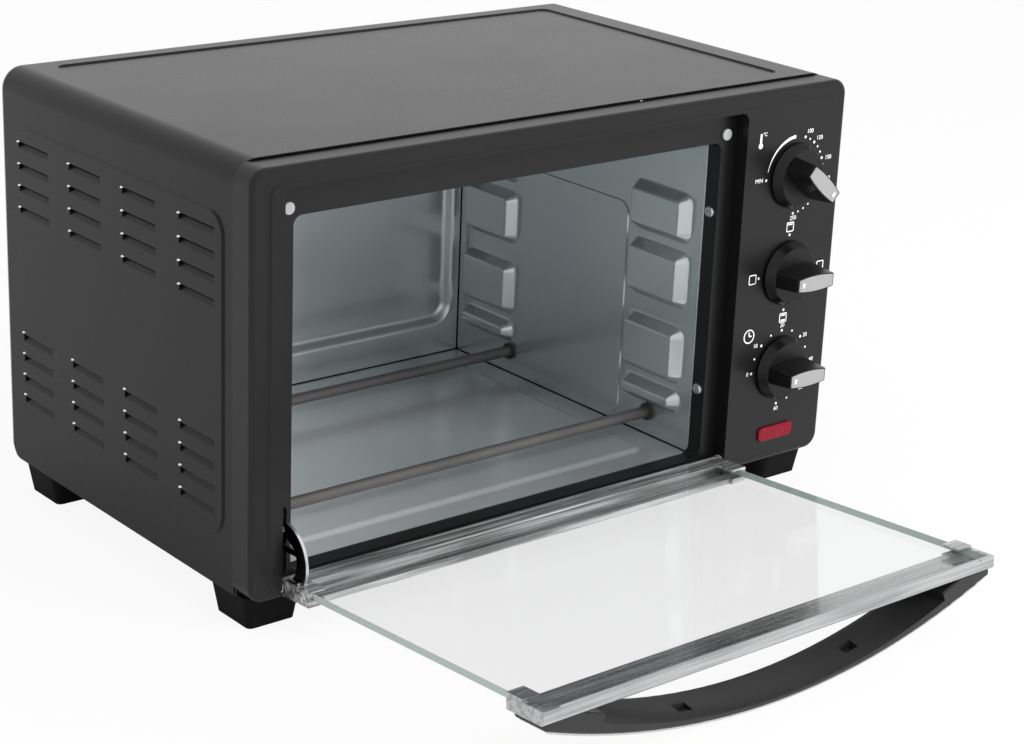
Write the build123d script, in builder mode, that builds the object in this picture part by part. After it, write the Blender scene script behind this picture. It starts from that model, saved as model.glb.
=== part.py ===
from build123d import *
import os
from math import asin, atan2, cos, degrees, hypot, radians, sin, sqrt

# Countertop mini oven with a drop-down glass door, at its real size in millimetres.
# It faces -Y and stands on z = 0. The door is open, as far down as its handle can go
# above the worktop, and the three knobs point where their dials are set.

# Casing
body_width = 400.0
body_height = 222.0
body_depth = 244.0
foot_height = 18.0
sheet = 0.8
fit = 0.2
side_raise = 1.0
top_sink = 0.9
wrap_step = 1.2
wrap_radius = 12.0
wrap_rear_corner = 8.0
wrap_lip = 9.0
emboss_taper = 40.0
emboss_radius = 12.0
top_emboss_radius = 6.0
top_emboss_side = 26.0
top_emboss_front = 11.0
top_emboss_rear = 9.0
side_emboss_front = 9.0
side_emboss_rear = 11.0
side_emboss_foot = 27.0
side_emboss_top = 28.0

# Louvres pressed into both sides
louvre_length = 32.0
louvre_height = 3.9
louvre_depth = 3.0
louvre_pitch = 12.1
louvre_columns = 4
louvre_rows = 4
louvre_margin = 7.0
louvre_top_gap = 8.2
louvre_foot_gap = 10.5

# Front frame
frame_depth = 16.0
rim_radius = 9.0
rim_edge = 2.5
face_raise = 1.2
face_margin = 10.0
face_margin_top = 8.5
face_margin_right = 4.0
face_margin_foot = 4.0
face_radius = 6.0
panel_width = 77.5
zone_side = 18.5
zone_top = 10.5
zone_depth = 8.0
zone_radius = 5.0
mouth_side = 10.0
mouth_top = 16.5
mouth_sill = 8.0
mouth_radius = 6.0
flange_depth = 10.0

# Cavity liner
liner = 0.6
rear_gap = 8.0
boss_depth = 7.0
boss_length = 48.0
boss_radius = 6.0
boss_taper = 30.0
boss_front_gap = 10.0
boss_rear_gap = 8.0
boss_over_rod = 0.8
boss_under_rod = 19.8
boss_wedge = 13.5
boss_trims = [1.9, 1.3, -3.2]
shelf_slots = [4.5, 12.0, 6.0]
wall_panel_raise = 0.8
wall_panel_gap = 4.0
wall_panel_foot = 4.0
wall_panel_top = 16.0
wall_panel_radius = 8.0
rear_recess_side = 5.5
rear_recess_foot = 19.0
rear_recess_depth = 5.0
rear_recess_radius = 14.0
floor_bead = 1.8
floor_bead_taper = 62.0
floor_bead_margin = 17.0
floor_bead_radius = 10.0

# Tubular heating elements
rod_diameter = 6.5
rod_front = 36.0
rod_rear = 54.0
rod_above_floor = 14.5
rod_below_roof = 11.0
rod_end = 14.0
stud_diameter = 3.0
stud_length = 8.0
bush_diameter = 8.4
bush_length = 9.0
bush_flange = 10.4
bush_flange_length = 2.0

# Rear cover and base
bulge_depth = 9.0
bulge_margin_x = 60.0
bulge_margin_z = 34.0
bulge_radius = 16.0
vent_length = 26.0
vent_width = 3.0
vent_columns = 6
vent_rows = 5
vent_pitch_x = 38.0
vent_pitch_z = 14.0
gland_diameter = 15.0
gland_flange = 21.0
gland_bore = 7.5
gland_length = 10.0
gland_flange_length = 3.0
gland_inset_x = 32.0
gland_rise = 26.0
base_flange = 9.0
rear_screw_inset = 5.0

# Feet
foot_width = 28.0
foot_length = 30.0
foot_taper = 11.0
foot_radius = 3.0
foot_inset_x = 20.0
foot_inset_front = 25.0
foot_inset_rear = 26.0
foot_bore_depth = 11.0

# Screws
screw_diameter = 3.0
screw_head = 6.4
screw_head_height = 1.8
screw_length = 7.0
screw_play = 0.15

# Dials
dial_x = 38.5
dial_drop = 51.0
dial_low = 57.0
knob_diameter = 37.5
knob_skirt = 5.4
knob_draft = 27.0
knob_edge = 0.5
knob_height = 21.4
knob_gap = 1.8
bar_length = 29.5
bar_front_length = 28.0
bar_width = 13.5
bar_front_width = 10.0
bar_end_share = 0.74
insert_length = 26.4
insert_width = 8.8
insert_thickness = 1.6
insert_proud = 0.5
shaft_diameter = 6.0
shaft_in_knob = 13.0
shaft_in_body = 11.0
running = 0.05
neck_wall = 1.6
neck_play = 0.3
control_screw_pitch = 26.0
control_head_height = 0.9
dial_angles = {"thermostat": -41.0, "selector": 180.0, "timer": 180.0}
control_sizes = {
    "thermostat": (38.0, 24.0, 36.0),
    "selector": (40.0, 30.0, 34.0),
    "timer": (52.0, 38.0, 44.0),
}

# Pilot lamp
lamp_width = 27.0
lamp_height = 8.5
lamp_radius = 3.0
lamp_rise = 17.5
lamp_proud = 1.6
lamp_flange = 2.5
lamp_flange_depth = 1.5
lamp_holder_depth = 16.0

# Door
door_play = 2.0
door_top_play = 1.5
hinge_rise = 5.5
hinge_back = 3.2
hinge_pin = 3.2
hinge_pin_out = 4.6
hinge_pin_in = 6.0
hinge_bush_wall = 0.6
hinge_bush_flange = 1.6
hinge_bush_flange_length = 0.8
hinge_bush_length = 4.0
glass_thickness = 3.8
glass_inset = 2.0
glass_start = 9.0
glass_side = 3.0
rail_inner = 3.3
rail_outer = 5.2
rail_knuckle = 3.6
lower_rail_length = 22.0
lower_rail_lip = 2.8
rail_groove = 1.4
rail_groove_depth = 0.9
rail_groove_pitch = 2.8
rail_grooves = 3
upper_rail_length = 24.0
upper_rail_lip = 2.4
rail_end = 10.0
cap_overlap = 2.0
cap_tab = 11.0
cap_edge = 0.8
rail_bead = 1.9
bumper_diameter = 6.4
bumper_height = 1.2
bumper_side = 7.8
bumper_drop = 13.0

# Handle
handle_gap = 23.0
handle_thickness = 7.0
handle_end = 3.5
handle_end_inset = 3.0
handle_root = 22.0
handle_width = 23.0
handle_drop = 1.0
handle_edge = 1.4
gutter_radius = 46.0
gutter_depth = 4.6
gutter_end = 12.0
pocket_spread = 112.0
pocket_length = 9.0
pocket_width = 6.0
pocket_depth = 1.0
trim_thickness = 1.0
trim_margin = 2.0
handle_screw_inset = 12.0
handle_screw_length = 7.0
worktop_gap = 0.4

# Hinge arm and its spring
arm_thickness = 1.6
arm_slot_width = 4.6
arm_slot_height = 36.0
arm_slot_rise = 9.0
arm_from_zone = 6.0
arm_radius = 19.2
arm_back = 1.0
arm_center = 13.4
arm_tail = 3.4
arm_band = 8.2
arm_spur = 3.5
arm_spur_rise = 17.0
arm_root = 4.5
arm_foot_width = 6.0
arm_foot_length = 9.0
arm_foot_thickness = 1.0
arm_hole = 2.6
arm_hook_back = 1.2
spring_diameter = 7.0
spring_wire = 1.0
spring_wire_gap = 0.3
spring_start = 20.0
spring_length = 62.0
spring_anchor = 104.0
anchor_thickness = 1.2
anchor_width = 9.0
anchor_foot = 10.0
anchor_top = 5.0

# Places worked out from the sizes
zone_width = body_width - panel_width - zone_side
zone_height = body_height - zone_top
mouth_width = zone_width - 2 * mouth_side
mouth_height = zone_height - mouth_top - mouth_sill
z_base = foot_height
hinge_z = z_base + hinge_rise
door_length = zone_height - door_top_play - hinge_rise
handle_far = door_length - handle_drop
handle_near = handle_far - handle_width
handle_out = rail_outer + handle_gap + handle_thickness + trim_thickness
door_tilt = degrees(
    atan2(handle_out, handle_near)
    + asin((worktop_gap - hinge_z) / hypot(handle_out, handle_near))
)
tilt_cos = cos(radians(door_tilt))
tilt_sin = sin(radians(door_tilt))
door_reach = max(
    door_length * tilt_cos + rail_outer * tilt_sin,
    handle_far * tilt_cos + handle_out * tilt_sin,
)
box_depth = door_reach - hinge_back + body_depth + sheet + bulge_depth
y_front = door_reach - hinge_back - box_depth / 2
y_face = y_front - face_raise
y_panel_back = y_front + sheet
y_zone = y_front + zone_depth
y_seam = y_front + frame_depth
y_rear = y_front + body_depth
y_hinge = y_front + hinge_back
y_liner = y_zone + sheet + fit
y_cavity_rear = y_rear - rear_gap
zone_right = body_width / 2 - panel_width
zone_left = zone_right - zone_width
zone_x = (zone_left + zone_right) / 2
cavity_left = zone_x - mouth_width / 2
cavity_right = zone_x + mouth_width / 2
z_floor = z_base + mouth_sill
z_roof = z_floor + mouth_height
z_mid = z_base + body_height / 2
wrap_width = body_width - 2 * side_raise
wrap_height = body_height + wrap_step
door_width = zone_width - 2 * door_play
dial_center_x = body_width / 2 - dial_x
rear_screw_places = [
    (side * (wrap_width / 2 - rear_screw_inset), z_base + share * wrap_height)
    for side in (-1, 1)
    for share in (0.15, 0.5, 0.85)
]
rear_screw_places += [
    (side * wrap_width / 4, z)
    for side in (-1, 1)
    for z in (z_base + rear_screw_inset, z_base + wrap_height - rear_screw_inset)
]
dial_rises = {
    "thermostat": z_base + body_height - dial_drop,
    "selector": z_base + (body_height - dial_drop + dial_low) / 2,
    "timer": z_base + dial_low,
}


def front_view(y):
    """Upright plane seen from the front at depth y: X to the right, Z up."""
    return Plane.XZ.offset(-y)


def side_view(side, x):
    """Upright plane on one side of the oven that faces outwards."""
    return Plane(origin=(side * x, 0, 0), x_dir=(0, side, 0), z_dir=(side, 0, 0))


def dial_view(name, y):
    """Plane of one dial, turned so that its X runs along the pointer."""
    turn = radians(dial_angles[name])
    return Plane(
        origin=(dial_center_x, y, dial_rises[name]),
        x_dir=(cos(turn), 0, sin(turn)),
        z_dir=(0, -1, 0),
    )


def door_view(out):
    """Plane of the open door, a distance outside its hinge axis: X across, Y from the hinge."""
    outwards = Vector(0, -tilt_sin, -tilt_cos)
    return Plane(
        origin=Vector(zone_x, y_hinge, hinge_z) + outwards * out,
        x_dir=(1, 0, 0),
        z_dir=outwards,
    )


def door_section(x):
    """Plane across the open door at x: X from the hinge, Y outwards."""
    return Plane(
        origin=(x, y_hinge, hinge_z), x_dir=(0, -tilt_cos, tilt_sin), z_dir=(1, 0, 0)
    )


def door_plan(along):
    """Plane across the handle at a distance from the hinge: X across, Y outwards."""
    along_door = Vector(0, -tilt_cos, tilt_sin)
    return Plane(
        origin=Vector(zone_x, y_hinge, hinge_z) + along_door * along,
        x_dir=(1, 0, 0),
        z_dir=-along_door,
    )


def save(piece, name):
    """Label one finished piece and write it."""
    piece.part.label = name
    export_step(piece.part, f"parts/{name}.step")


def add_screw(head, length=screw_length, head_height=screw_head_height):
    """One pan-head screw, its head's seat on the plane given."""
    with Locations(head):
        Cylinder(screw_head / 2, head_height, align=(Align.CENTER, Align.CENTER, Align.MIN))
        Cylinder(screw_diameter / 2, length, align=(Align.CENTER, Align.CENTER, Align.MAX))


os.makedirs("parts", exist_ok=True)

# Outer wrap: one bent sheet over the top and both sides, with pressed panels and louvres
louvre_inner = wrap_width / 2 - sheet
side_length = body_depth - frame_depth - side_emboss_front - side_emboss_rear
side_height = wrap_height - side_emboss_foot - side_emboss_top
side_foot = z_base + side_emboss_foot
upper_row = side_foot + side_height - louvre_top_gap
lower_row = side_foot + louvre_foot_gap + louvre_height + (louvre_rows - 1) * louvre_pitch
louvre_rises = [
    top - row * louvre_pitch for top in (upper_row, lower_row) for row in range(louvre_rows)
]
louvre_spread = (side_length - 2 * louvre_margin - louvre_length) / (louvre_columns - 1)
louvre_depths = [
    y_seam + side_emboss_front + louvre_margin + column * louvre_spread
    for column in range(louvre_columns)
]
with BuildPart() as outer_wrap:
    with BuildSketch(front_view(y_seam)) as wrap_section:
        with Locations((0, z_base)):
            Rectangle(wrap_width, wrap_height, align=(Align.CENTER, Align.MIN))
        fillet(wrap_section.vertices().group_by(Axis.Y)[-1], wrap_radius)
        offset(amount=-sheet, mode=Mode.SUBTRACT)
        with Locations((0, z_base)):
            Rectangle(wrap_width - 2 * sheet, 2 * sheet, mode=Mode.SUBTRACT)
    extrude(amount=-(body_depth - frame_depth))
    with BuildSketch(front_view(y_rear)) as lip_section:
        with Locations((0, z_base)):
            Rectangle(wrap_width, wrap_height, align=(Align.CENTER, Align.MIN))
        fillet(lip_section.vertices().group_by(Axis.Y)[-1], wrap_radius)
        offset(amount=-wrap_lip, mode=Mode.SUBTRACT)
        with Locations((0, z_base)):
            Rectangle(wrap_width - 2 * wrap_lip, 2 * wrap_lip, mode=Mode.SUBTRACT)
    extrude(amount=sheet)
    rear_corners = outer_wrap.edges().filter_by(Axis.X).group_by(Axis.Z)[0].group_by(Axis.Y)[-1]
    fillet(rear_corners, wrap_rear_corner)
    top_length = body_depth - frame_depth - top_emboss_front - top_emboss_rear
    top_width = wrap_width - 2 * top_emboss_side
    top_middle = (0, y_seam + top_emboss_front + top_length / 2, z_base + wrap_height)
    top_down = Plane(origin=top_middle, x_dir=(1, 0, 0), z_dir=(0, 0, -1))
    with BuildSketch(top_down.offset(sheet)):
        RectangleRounded(top_width, top_length, top_emboss_radius)
    extrude(amount=top_sink)
    with BuildSketch(top_down):
        RectangleRounded(top_width, top_length, top_emboss_radius)
    extrude(amount=top_sink, taper=emboss_taper, mode=Mode.SUBTRACT)
    for side in (-1, 1):
        side_middle = side * (y_seam + side_emboss_front + side_length / 2)
        with BuildSketch(side_view(side, wrap_width / 2)):
            with Locations((side_middle, side_foot + side_height / 2)):
                RectangleRounded(side_length, side_height, emboss_radius)
        extrude(amount=side_raise, taper=emboss_taper)
    for y in louvre_depths:
        with BuildSketch(front_view(y - sheet)):
            for side in (-1, 1):
                for z in louvre_rises:
                    Polygon(
                        (side * louvre_inner, z),
                        (side * louvre_inner, z - louvre_height),
                        (side * (body_width / 2 - louvre_depth - sheet), z),
                        align=None,
                    )
        extrude(amount=-(louvre_length + 2 * sheet))
    for y in louvre_depths:
        with BuildSketch(front_view(y)):
            for side in (-1, 1):
                for z in louvre_rises:
                    Polygon(
                        (side * body_width / 2, z),
                        (side * body_width / 2, z - louvre_height),
                        (side * (body_width / 2 - louvre_depth), z),
                        align=None,
                    )
        extrude(amount=-louvre_length, mode=Mode.SUBTRACT)
    with BuildSketch(front_view(y_rear)):
        with Locations(*rear_screw_places):
            Circle(screw_diameter / 2 + screw_play)
    extrude(amount=2 * sheet, mode=Mode.SUBTRACT)
save(outer_wrap, "outer_wrap")

# Front frame: one stamping with a raised face, the recess for the door and the oven's mouth
face_width = body_width - face_margin - face_margin_right
face_height = body_height - face_margin_top - face_margin_foot
face_x = (face_margin - face_margin_right) / 2
face_z = z_base + face_margin_foot + face_height / 2
zone_tall = zone_height + 2 * rim_radius
zone_center = (zone_x, z_base + zone_height - zone_tall / 2)
mouth_center = (zone_x, z_floor + mouth_height / 2)
arm_x = zone_left + arm_from_zone
with BuildPart() as front_frame:
    with BuildSketch(front_view(y_front)):
        with Locations((0, z_mid)):
            RectangleRounded(body_width, body_height, rim_radius)
    extrude(amount=-frame_depth)
    fillet(front_frame.faces().sort_by(Axis.Y)[0].edges(), rim_edge)
    with BuildSketch(front_view(y_front)):
        with Locations((face_x, face_z)):
            RectangleRounded(face_width, face_height, face_radius)
    extrude(amount=face_raise, taper=emboss_taper)
    with BuildSketch(front_view(y_zone + sheet)):
        with Locations((0, z_mid)):
            RectangleRounded(body_width - 2 * sheet, body_height - 2 * sheet, rim_radius - sheet)
    extrude(amount=-frame_depth, mode=Mode.SUBTRACT)
    with BuildSketch(front_view(y_zone + sheet)):
        with Locations((0, z_mid)):
            RectangleRounded(body_width - 2 * sheet, body_height - 2 * sheet, rim_radius - sheet)
        with Locations(zone_center):
            RectangleRounded(
                zone_width + 2 * sheet, zone_tall + 2 * sheet, zone_radius + sheet, mode=Mode.SUBTRACT
            )
    extrude(amount=zone_depth, mode=Mode.SUBTRACT)
    with BuildSketch(front_view(y_zone)):
        with Locations(zone_center):
            RectangleRounded(zone_width, zone_tall, zone_radius)
    extrude(amount=frame_depth, mode=Mode.SUBTRACT)
    with BuildSketch(front_view(y_zone)):
        with Locations(mouth_center):
            RectangleRounded(mouth_width, mouth_height, mouth_radius)
    extrude(amount=-flange_depth, mode=Mode.SUBTRACT)
    with BuildSketch(front_view(y_zone)):
        with Locations(mouth_center):
            RectangleRounded(mouth_width, mouth_height, mouth_radius)
            RectangleRounded(
                mouth_width - 2 * sheet, mouth_height - 2 * sheet, mouth_radius - sheet, mode=Mode.SUBTRACT
            )
    extrude(amount=-flange_depth)
    with BuildSketch(front_view(y_face)):
        for rise in dial_rises.values():
            with Locations((dial_center_x, rise)):
                Circle(shaft_diameter / 2 + running + neck_wall + neck_play)
                with Locations((-control_screw_pitch / 2, 0), (control_screw_pitch / 2, 0)):
                    Circle(screw_diameter / 2 + screw_play)
        with Locations((dial_center_x, z_base + lamp_rise)):
            RectangleRounded(lamp_width + 2 * fit, lamp_height + 2 * fit, lamp_radius)
    extrude(amount=-(zone_depth + face_raise), mode=Mode.SUBTRACT)
    with BuildSketch(front_view(y_zone)):
        with Locations((arm_x, z_base + arm_slot_rise + arm_slot_height / 2)):
            SlotOverall(arm_slot_height, arm_slot_width, rotation=90)
    extrude(amount=-2 * sheet, mode=Mode.SUBTRACT)
    for x in (zone_left - sheet, zone_right):
        with BuildSketch(Plane.YZ.offset(x)):
            with Locations((y_hinge, hinge_z)):
                Circle(hinge_pin / 2 + running + hinge_bush_wall + fit)
        extrude(amount=sheet, mode=Mode.SUBTRACT)
    flange_screw_places = [
        (y_zone + flange_depth / 2, z_floor + share * mouth_height) for share in (0.22, 0.78)
    ]
    for x in (cavity_left, cavity_right):
        with BuildSketch(Plane.YZ.offset(x)):
            with Locations(*flange_screw_places):
                Circle(screw_diameter / 2 + screw_play)
        extrude(amount=2 * sheet, both=True, mode=Mode.SUBTRACT)
save(front_frame, "front_frame")

# Door bumpers: soft studs on the recess that the closed door meets
with BuildPart() as door_bumpers:
    bumper_rise = z_base + zone_height - bumper_drop
    with BuildSketch(front_view(y_zone)):
        with Locations((zone_left + bumper_side, bumper_rise), (zone_right - bumper_side, bumper_rise)):
            Circle(bumper_diameter / 2)
    extrude(amount=bumper_height)
    fillet(door_bumpers.faces().sort_by(Axis.Y)[0].edges(), bumper_height / 2)
save(door_bumpers, "door_bumpers")

# Base plate: flat sheet with upturned sides, which the feet are screwed to
base_width = wrap_width - 2 * sheet - 2 * fit
base_length = body_depth - frame_depth - sheet - 2 * fit
foot_places = {
    "foot_front_left": (-body_width / 2 + foot_inset_x, y_front + foot_inset_front),
    "foot_front_right": (body_width / 2 - foot_inset_x, y_front + foot_inset_front),
    "foot_rear_left": (-body_width / 2 + foot_inset_x, y_rear - foot_inset_rear),
    "foot_rear_right": (body_width / 2 - foot_inset_x, y_rear - foot_inset_rear),
}
with BuildPart() as base_plate:
    with BuildSketch(front_view(y_seam + fit)):
        with Locations((0, z_base)):
            Rectangle(base_width, base_flange, align=(Align.CENTER, Align.MIN))
        with Locations((0, z_base + sheet)):
            Rectangle(
                base_width - 2 * sheet, base_flange, align=(Align.CENTER, Align.MIN), mode=Mode.SUBTRACT
            )
    extrude(amount=-base_length)
    with BuildSketch(front_view(y_rear)):
        with Locations((0, z_base)):
            Rectangle(
                wrap_width - 2 * wrap_lip - 2 * fit, base_flange, align=(Align.CENTER, Align.MIN)
            )
    extrude(amount=2 * sheet)
    with BuildSketch(front_view(y_rear)):
        with Locations(*rear_screw_places):
            Circle(screw_diameter / 2 + screw_play)
    extrude(amount=2 * sheet, mode=Mode.SUBTRACT)
    with BuildSketch(Plane.XY.offset(z_base)):
        with Locations(*foot_places.values()):
            Circle(screw_diameter / 2 + screw_play)
    extrude(amount=sheet, mode=Mode.SUBTRACT)
save(base_plate, "base_plate")

# Feet: tapered moulded blocks, each with a deep bore for its screw
for foot_name, (foot_x, foot_y) in foot_places.items():
    with BuildPart() as foot:
        with BuildSketch(Plane.XY):
            with Locations((foot_x, foot_y)):
                RectangleRounded(foot_width, foot_length, foot_radius)
        extrude(amount=foot_height, taper=-foot_taper)
        with BuildSketch(Plane.XY):
            with Locations((foot_x, foot_y)):
                Circle(screw_head / 2 + fit)
        extrude(amount=foot_bore_depth, mode=Mode.SUBTRACT)
        with BuildSketch(Plane.XY):
            with Locations((foot_x, foot_y)):
                Circle(screw_diameter / 2 + screw_play)
        extrude(amount=foot_height, mode=Mode.SUBTRACT)
    save(foot, foot_name)

with BuildPart() as foot_screws:
    for foot_x, foot_y in foot_places.values():
        seat = Plane(origin=(foot_x, foot_y, foot_bore_depth), x_dir=(1, 0, 0), z_dir=(0, 0, -1))
        add_screw(seat, length=foot_height - foot_bore_depth + screw_length)
save(foot_screws, "foot_screws")

# Rear cover: flat sheet behind the wrap's lip, with a pressed bulge, vents and the cord gland
cover_center_z = z_base + wrap_height / 2
bulge_width = wrap_width - 2 * bulge_margin_x
bulge_height = wrap_height - 2 * bulge_margin_z
gland_place = (wrap_width / 2 - gland_inset_x, z_base + gland_rise)
with BuildPart() as rear_cover:
    with BuildSketch(front_view(y_rear)) as cover_section:
        with Locations((0, cover_center_z)):
            Rectangle(wrap_width, wrap_height)
        fillet(cover_section.vertices().group_by(Axis.Y)[-1], wrap_radius)
        fillet(cover_section.vertices().group_by(Axis.Y)[0], wrap_rear_corner)
    extrude(amount=-sheet)
    outwards = Plane(origin=(0, y_rear, cover_center_z), x_dir=(-1, 0, 0), z_dir=(0, 1, 0))
    with BuildSketch(outwards.offset(sheet)):
        RectangleRounded(bulge_width, bulge_height, bulge_radius)
    extrude(amount=bulge_depth, taper=emboss_taper)
    with BuildSketch(outwards):
        RectangleRounded(bulge_width - 2 * sheet, bulge_height - 2 * sheet, bulge_radius - sheet)
    extrude(amount=bulge_depth, taper=emboss_taper, mode=Mode.SUBTRACT)
    with BuildSketch(outwards):
        with GridLocations(vent_pitch_x, vent_pitch_z, vent_columns, vent_rows):
            SlotOverall(vent_length, vent_width)
    extrude(amount=bulge_depth + sheet, mode=Mode.SUBTRACT)
    with BuildSketch(front_view(y_rear)):
        with Locations(gland_place):
            Circle(gland_diameter / 2)
        with Locations(*rear_screw_places):
            Circle(screw_diameter / 2 + screw_play)
    extrude(amount=-sheet, mode=Mode.SUBTRACT)
save(rear_cover, "rear_cover")

with BuildPart() as rear_screws:
    for x, z in rear_screw_places:
        add_screw(Plane(origin=(x, y_rear + sheet, z), x_dir=(-1, 0, 0), z_dir=(0, 1, 0)))
save(rear_screws, "rear_screws")

with BuildPart() as cord_gland:
    gland_seat = Plane(
        origin=(gland_place[0], y_rear + sheet, gland_place[1]), x_dir=(-1, 0, 0), z_dir=(0, 1, 0)
    )
    with BuildSketch(gland_seat):
        Circle(gland_flange / 2)
    extrude(amount=gland_flange_length)
    fillet(cord_gland.faces().sort_by(Axis.Y)[-1].edges(), gland_flange_length / 3)
    with BuildSketch(gland_seat):
        Circle(gland_diameter / 2 - fit)
    extrude(amount=-gland_length)
    with BuildSketch(gland_seat.offset(gland_flange_length)):
        Circle(gland_bore / 2)
    extrude(amount=-(gland_length + gland_flange_length), mode=Mode.SUBTRACT)
save(cord_gland, "cord_gland")

# Cavity liner: side walls with pressed shelf bosses, recessed rear wall, roof and floor
rod_rises = {"lower": z_floor + rod_above_floor, "upper": z_roof - rod_below_roof}
rod_depths = {"front": y_zone + flange_depth + rod_front, "rear": y_cavity_rear - rod_rear}
rod_places = [(y, z) for y in rod_depths.values() for z in rod_rises.values()]
cavity_length = y_cavity_rear - y_liner
boss_foot = rod_rises["lower"] + bush_flange / 2 + boss_over_rod
boss_span = rod_rises["upper"] - bush_flange / 2 - boss_under_rod - boss_foot
boss_common = (boss_span - boss_wedge - sum(shelf_slots)) / len(boss_trims)
boss_heights = [boss_wedge] + [boss_common + trim for trim in boss_trims]
boss_columns = [
    y_zone + flange_depth + boss_front_gap + boss_length / 2,
    y_cavity_rear - boss_rear_gap - boss_length / 2,
]
boss_centers = []
boss_rise = boss_foot
for height, slot in zip(boss_heights, shelf_slots + [0]):
    boss_centers += [(y, boss_rise + height / 2, height) for y in boss_columns]
    boss_rise += height + slot
wall_panel_length = boss_columns[1] - boss_columns[0] - boss_length - 2 * wall_panel_gap
wall_panel_low = z_floor + wall_panel_foot
wall_panel_height = boss_foot + boss_span - wall_panel_top - wall_panel_low
for side, hand, inner_x in ((-1, "left", cavity_left), (1, "right", cavity_right)):
    inwards = Plane(origin=(inner_x, 0, 0), x_dir=(0, -side, 0), z_dir=(-side, 0, 0))
    with BuildPart() as wall:
        with BuildSketch(inwards):
            with Locations((-side * (y_liner + cavity_length / 2), (z_floor + z_roof) / 2)):
                Rectangle(cavity_length, mouth_height)
        extrude(amount=-liner)
        with BuildSketch(inwards):
            for y, z, height in boss_centers:
                with Locations((-side * y, z)):
                    RectangleRounded(boss_length, height, min(boss_radius, 0.45 * height))
        extrude(amount=boss_depth, taper=boss_taper)
        with BuildSketch(inwards):
            with Locations((-side * sum(boss_columns) / 2, wall_panel_low + wall_panel_height / 2)):
                RectangleRounded(wall_panel_length, wall_panel_height, wall_panel_radius)
        extrude(amount=wall_panel_raise, taper=boss_taper)
        with BuildSketch(inwards.offset(-liner)):
            for y, z, height in boss_centers:
                with Locations((-side * y, z)):
                    boss_inner = min(boss_radius, 0.45 * height) - liner
                    RectangleRounded(boss_length - 2 * liner, height - 2 * liner, boss_inner)
        extrude(amount=boss_depth, taper=boss_taper, mode=Mode.SUBTRACT)
        with BuildSketch(inwards):
            with Locations(*[(-side * y, z) for y, z in rod_places]):
                Circle(bush_diameter / 2 + fit)
            with Locations(*[(-side * y, z) for y, z in flange_screw_places]):
                Circle(screw_diameter / 2 + screw_play)
        extrude(amount=-liner, mode=Mode.SUBTRACT)
    save(wall, f"cavity_{hand}_wall")

with BuildPart() as cavity_rear_wall:
    with BuildSketch(front_view(y_cavity_rear)):
        with Locations(mouth_center):
            Rectangle(mouth_width + 2 * liner, mouth_height + 2 * liner)
    extrude(amount=-liner)
    backwards = Plane(
        origin=(mouth_center[0], y_cavity_rear + liner, mouth_center[1]), x_dir=(-1, 0, 0), z_dir=(0, 1, 0)
    )
    recess_width = mouth_width - 2 * rear_recess_side
    recess_height = mouth_height - 2 * rear_recess_foot
    with BuildSketch(backwards):
        RectangleRounded(recess_width, recess_height, rear_recess_radius)
    extrude(amount=rear_recess_depth, taper=emboss_taper)
    with BuildSketch(backwards.offset(-liner)):
        RectangleRounded(recess_width - 2 * liner, recess_height - 2 * liner, rear_recess_radius - liner)
    extrude(amount=rear_recess_depth, taper=emboss_taper, mode=Mode.SUBTRACT)
save(cavity_rear_wall, "cavity_rear_wall")

with BuildPart() as cavity_roof:
    with BuildSketch(Plane.XY.offset(z_roof)):
        with Locations((zone_x, y_liner + cavity_length / 2)):
            Rectangle(mouth_width + 2 * liner, cavity_length)
    extrude(amount=liner)
save(cavity_roof, "cavity_roof")

with BuildPart() as cavity_floor:
    bead_start = y_zone + flange_depth + floor_bead_margin
    bead_length = y_cavity_rear - floor_bead_margin - bead_start
    with BuildSketch(Plane.XY.offset(z_floor)):
        with Locations((zone_x, y_liner + cavity_length / 2)):
            Rectangle(mouth_width + 2 * liner, cavity_length)
    extrude(amount=-liner)
    with BuildSketch(Plane.XY.offset(z_floor)):
        with Locations((zone_x, bead_start + bead_length / 2)):
            RectangleRounded(mouth_width - 2 * floor_bead_margin, bead_length, floor_bead_radius)
    extrude(amount=floor_bead, taper=floor_bead_taper)
save(cavity_floor, "cavity_floor")

with BuildPart() as flange_screws:
    for y, z in flange_screw_places:
        for side, x in ((-1, cavity_left), (1, cavity_right)):
            add_screw(
                Plane(origin=(x - side * sheet, y, z), x_dir=(0, 1, 0), z_dir=(-side, 0, 0)),
                length=screw_length - sheet,
            )
save(flange_screws, "flange_screws")

# Heating elements: straight steel tubes with a terminal stud at each end
rod_length = mouth_width + 2 * rod_end
for level, rod_z in rod_rises.items():
    for row, rod_y in rod_depths.items():
        with BuildPart() as element:
            with BuildSketch(Plane.YZ.offset(zone_x)):
                with Locations((rod_y, rod_z)):
                    Circle(rod_diameter / 2)
            extrude(amount=rod_length / 2, both=True)
            with BuildSketch(Plane.YZ.offset(zone_x)):
                with Locations((rod_y, rod_z)):
                    Circle(stud_diameter / 2)
            extrude(amount=rod_length / 2 + stud_length, both=True)
        save(element, f"{level}_{row}_element")

with BuildPart() as element_bushes:
    for side, inner_x in ((-1, cavity_left), (1, cavity_right)):
        flange = Plane(origin=(inner_x, 0, 0), x_dir=(0, 1, 0), z_dir=(-side, 0, 0))
        places = [(y, -side * z) for y, z in rod_places]
        with BuildSketch(flange):
            with Locations(*places):
                Circle(bush_flange / 2)
        extrude(amount=bush_flange_length)
        with BuildSketch(flange):
            with Locations(*places):
                Circle(bush_diameter / 2)
        extrude(amount=-bush_length)
        with BuildSketch(flange.offset(bush_flange_length)):
            with Locations(*places):
                Circle(rod_diameter / 2 + fit)
        extrude(amount=-(bush_length + bush_flange_length), mode=Mode.SUBTRACT)
save(element_bushes, "element_bushes")

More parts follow.
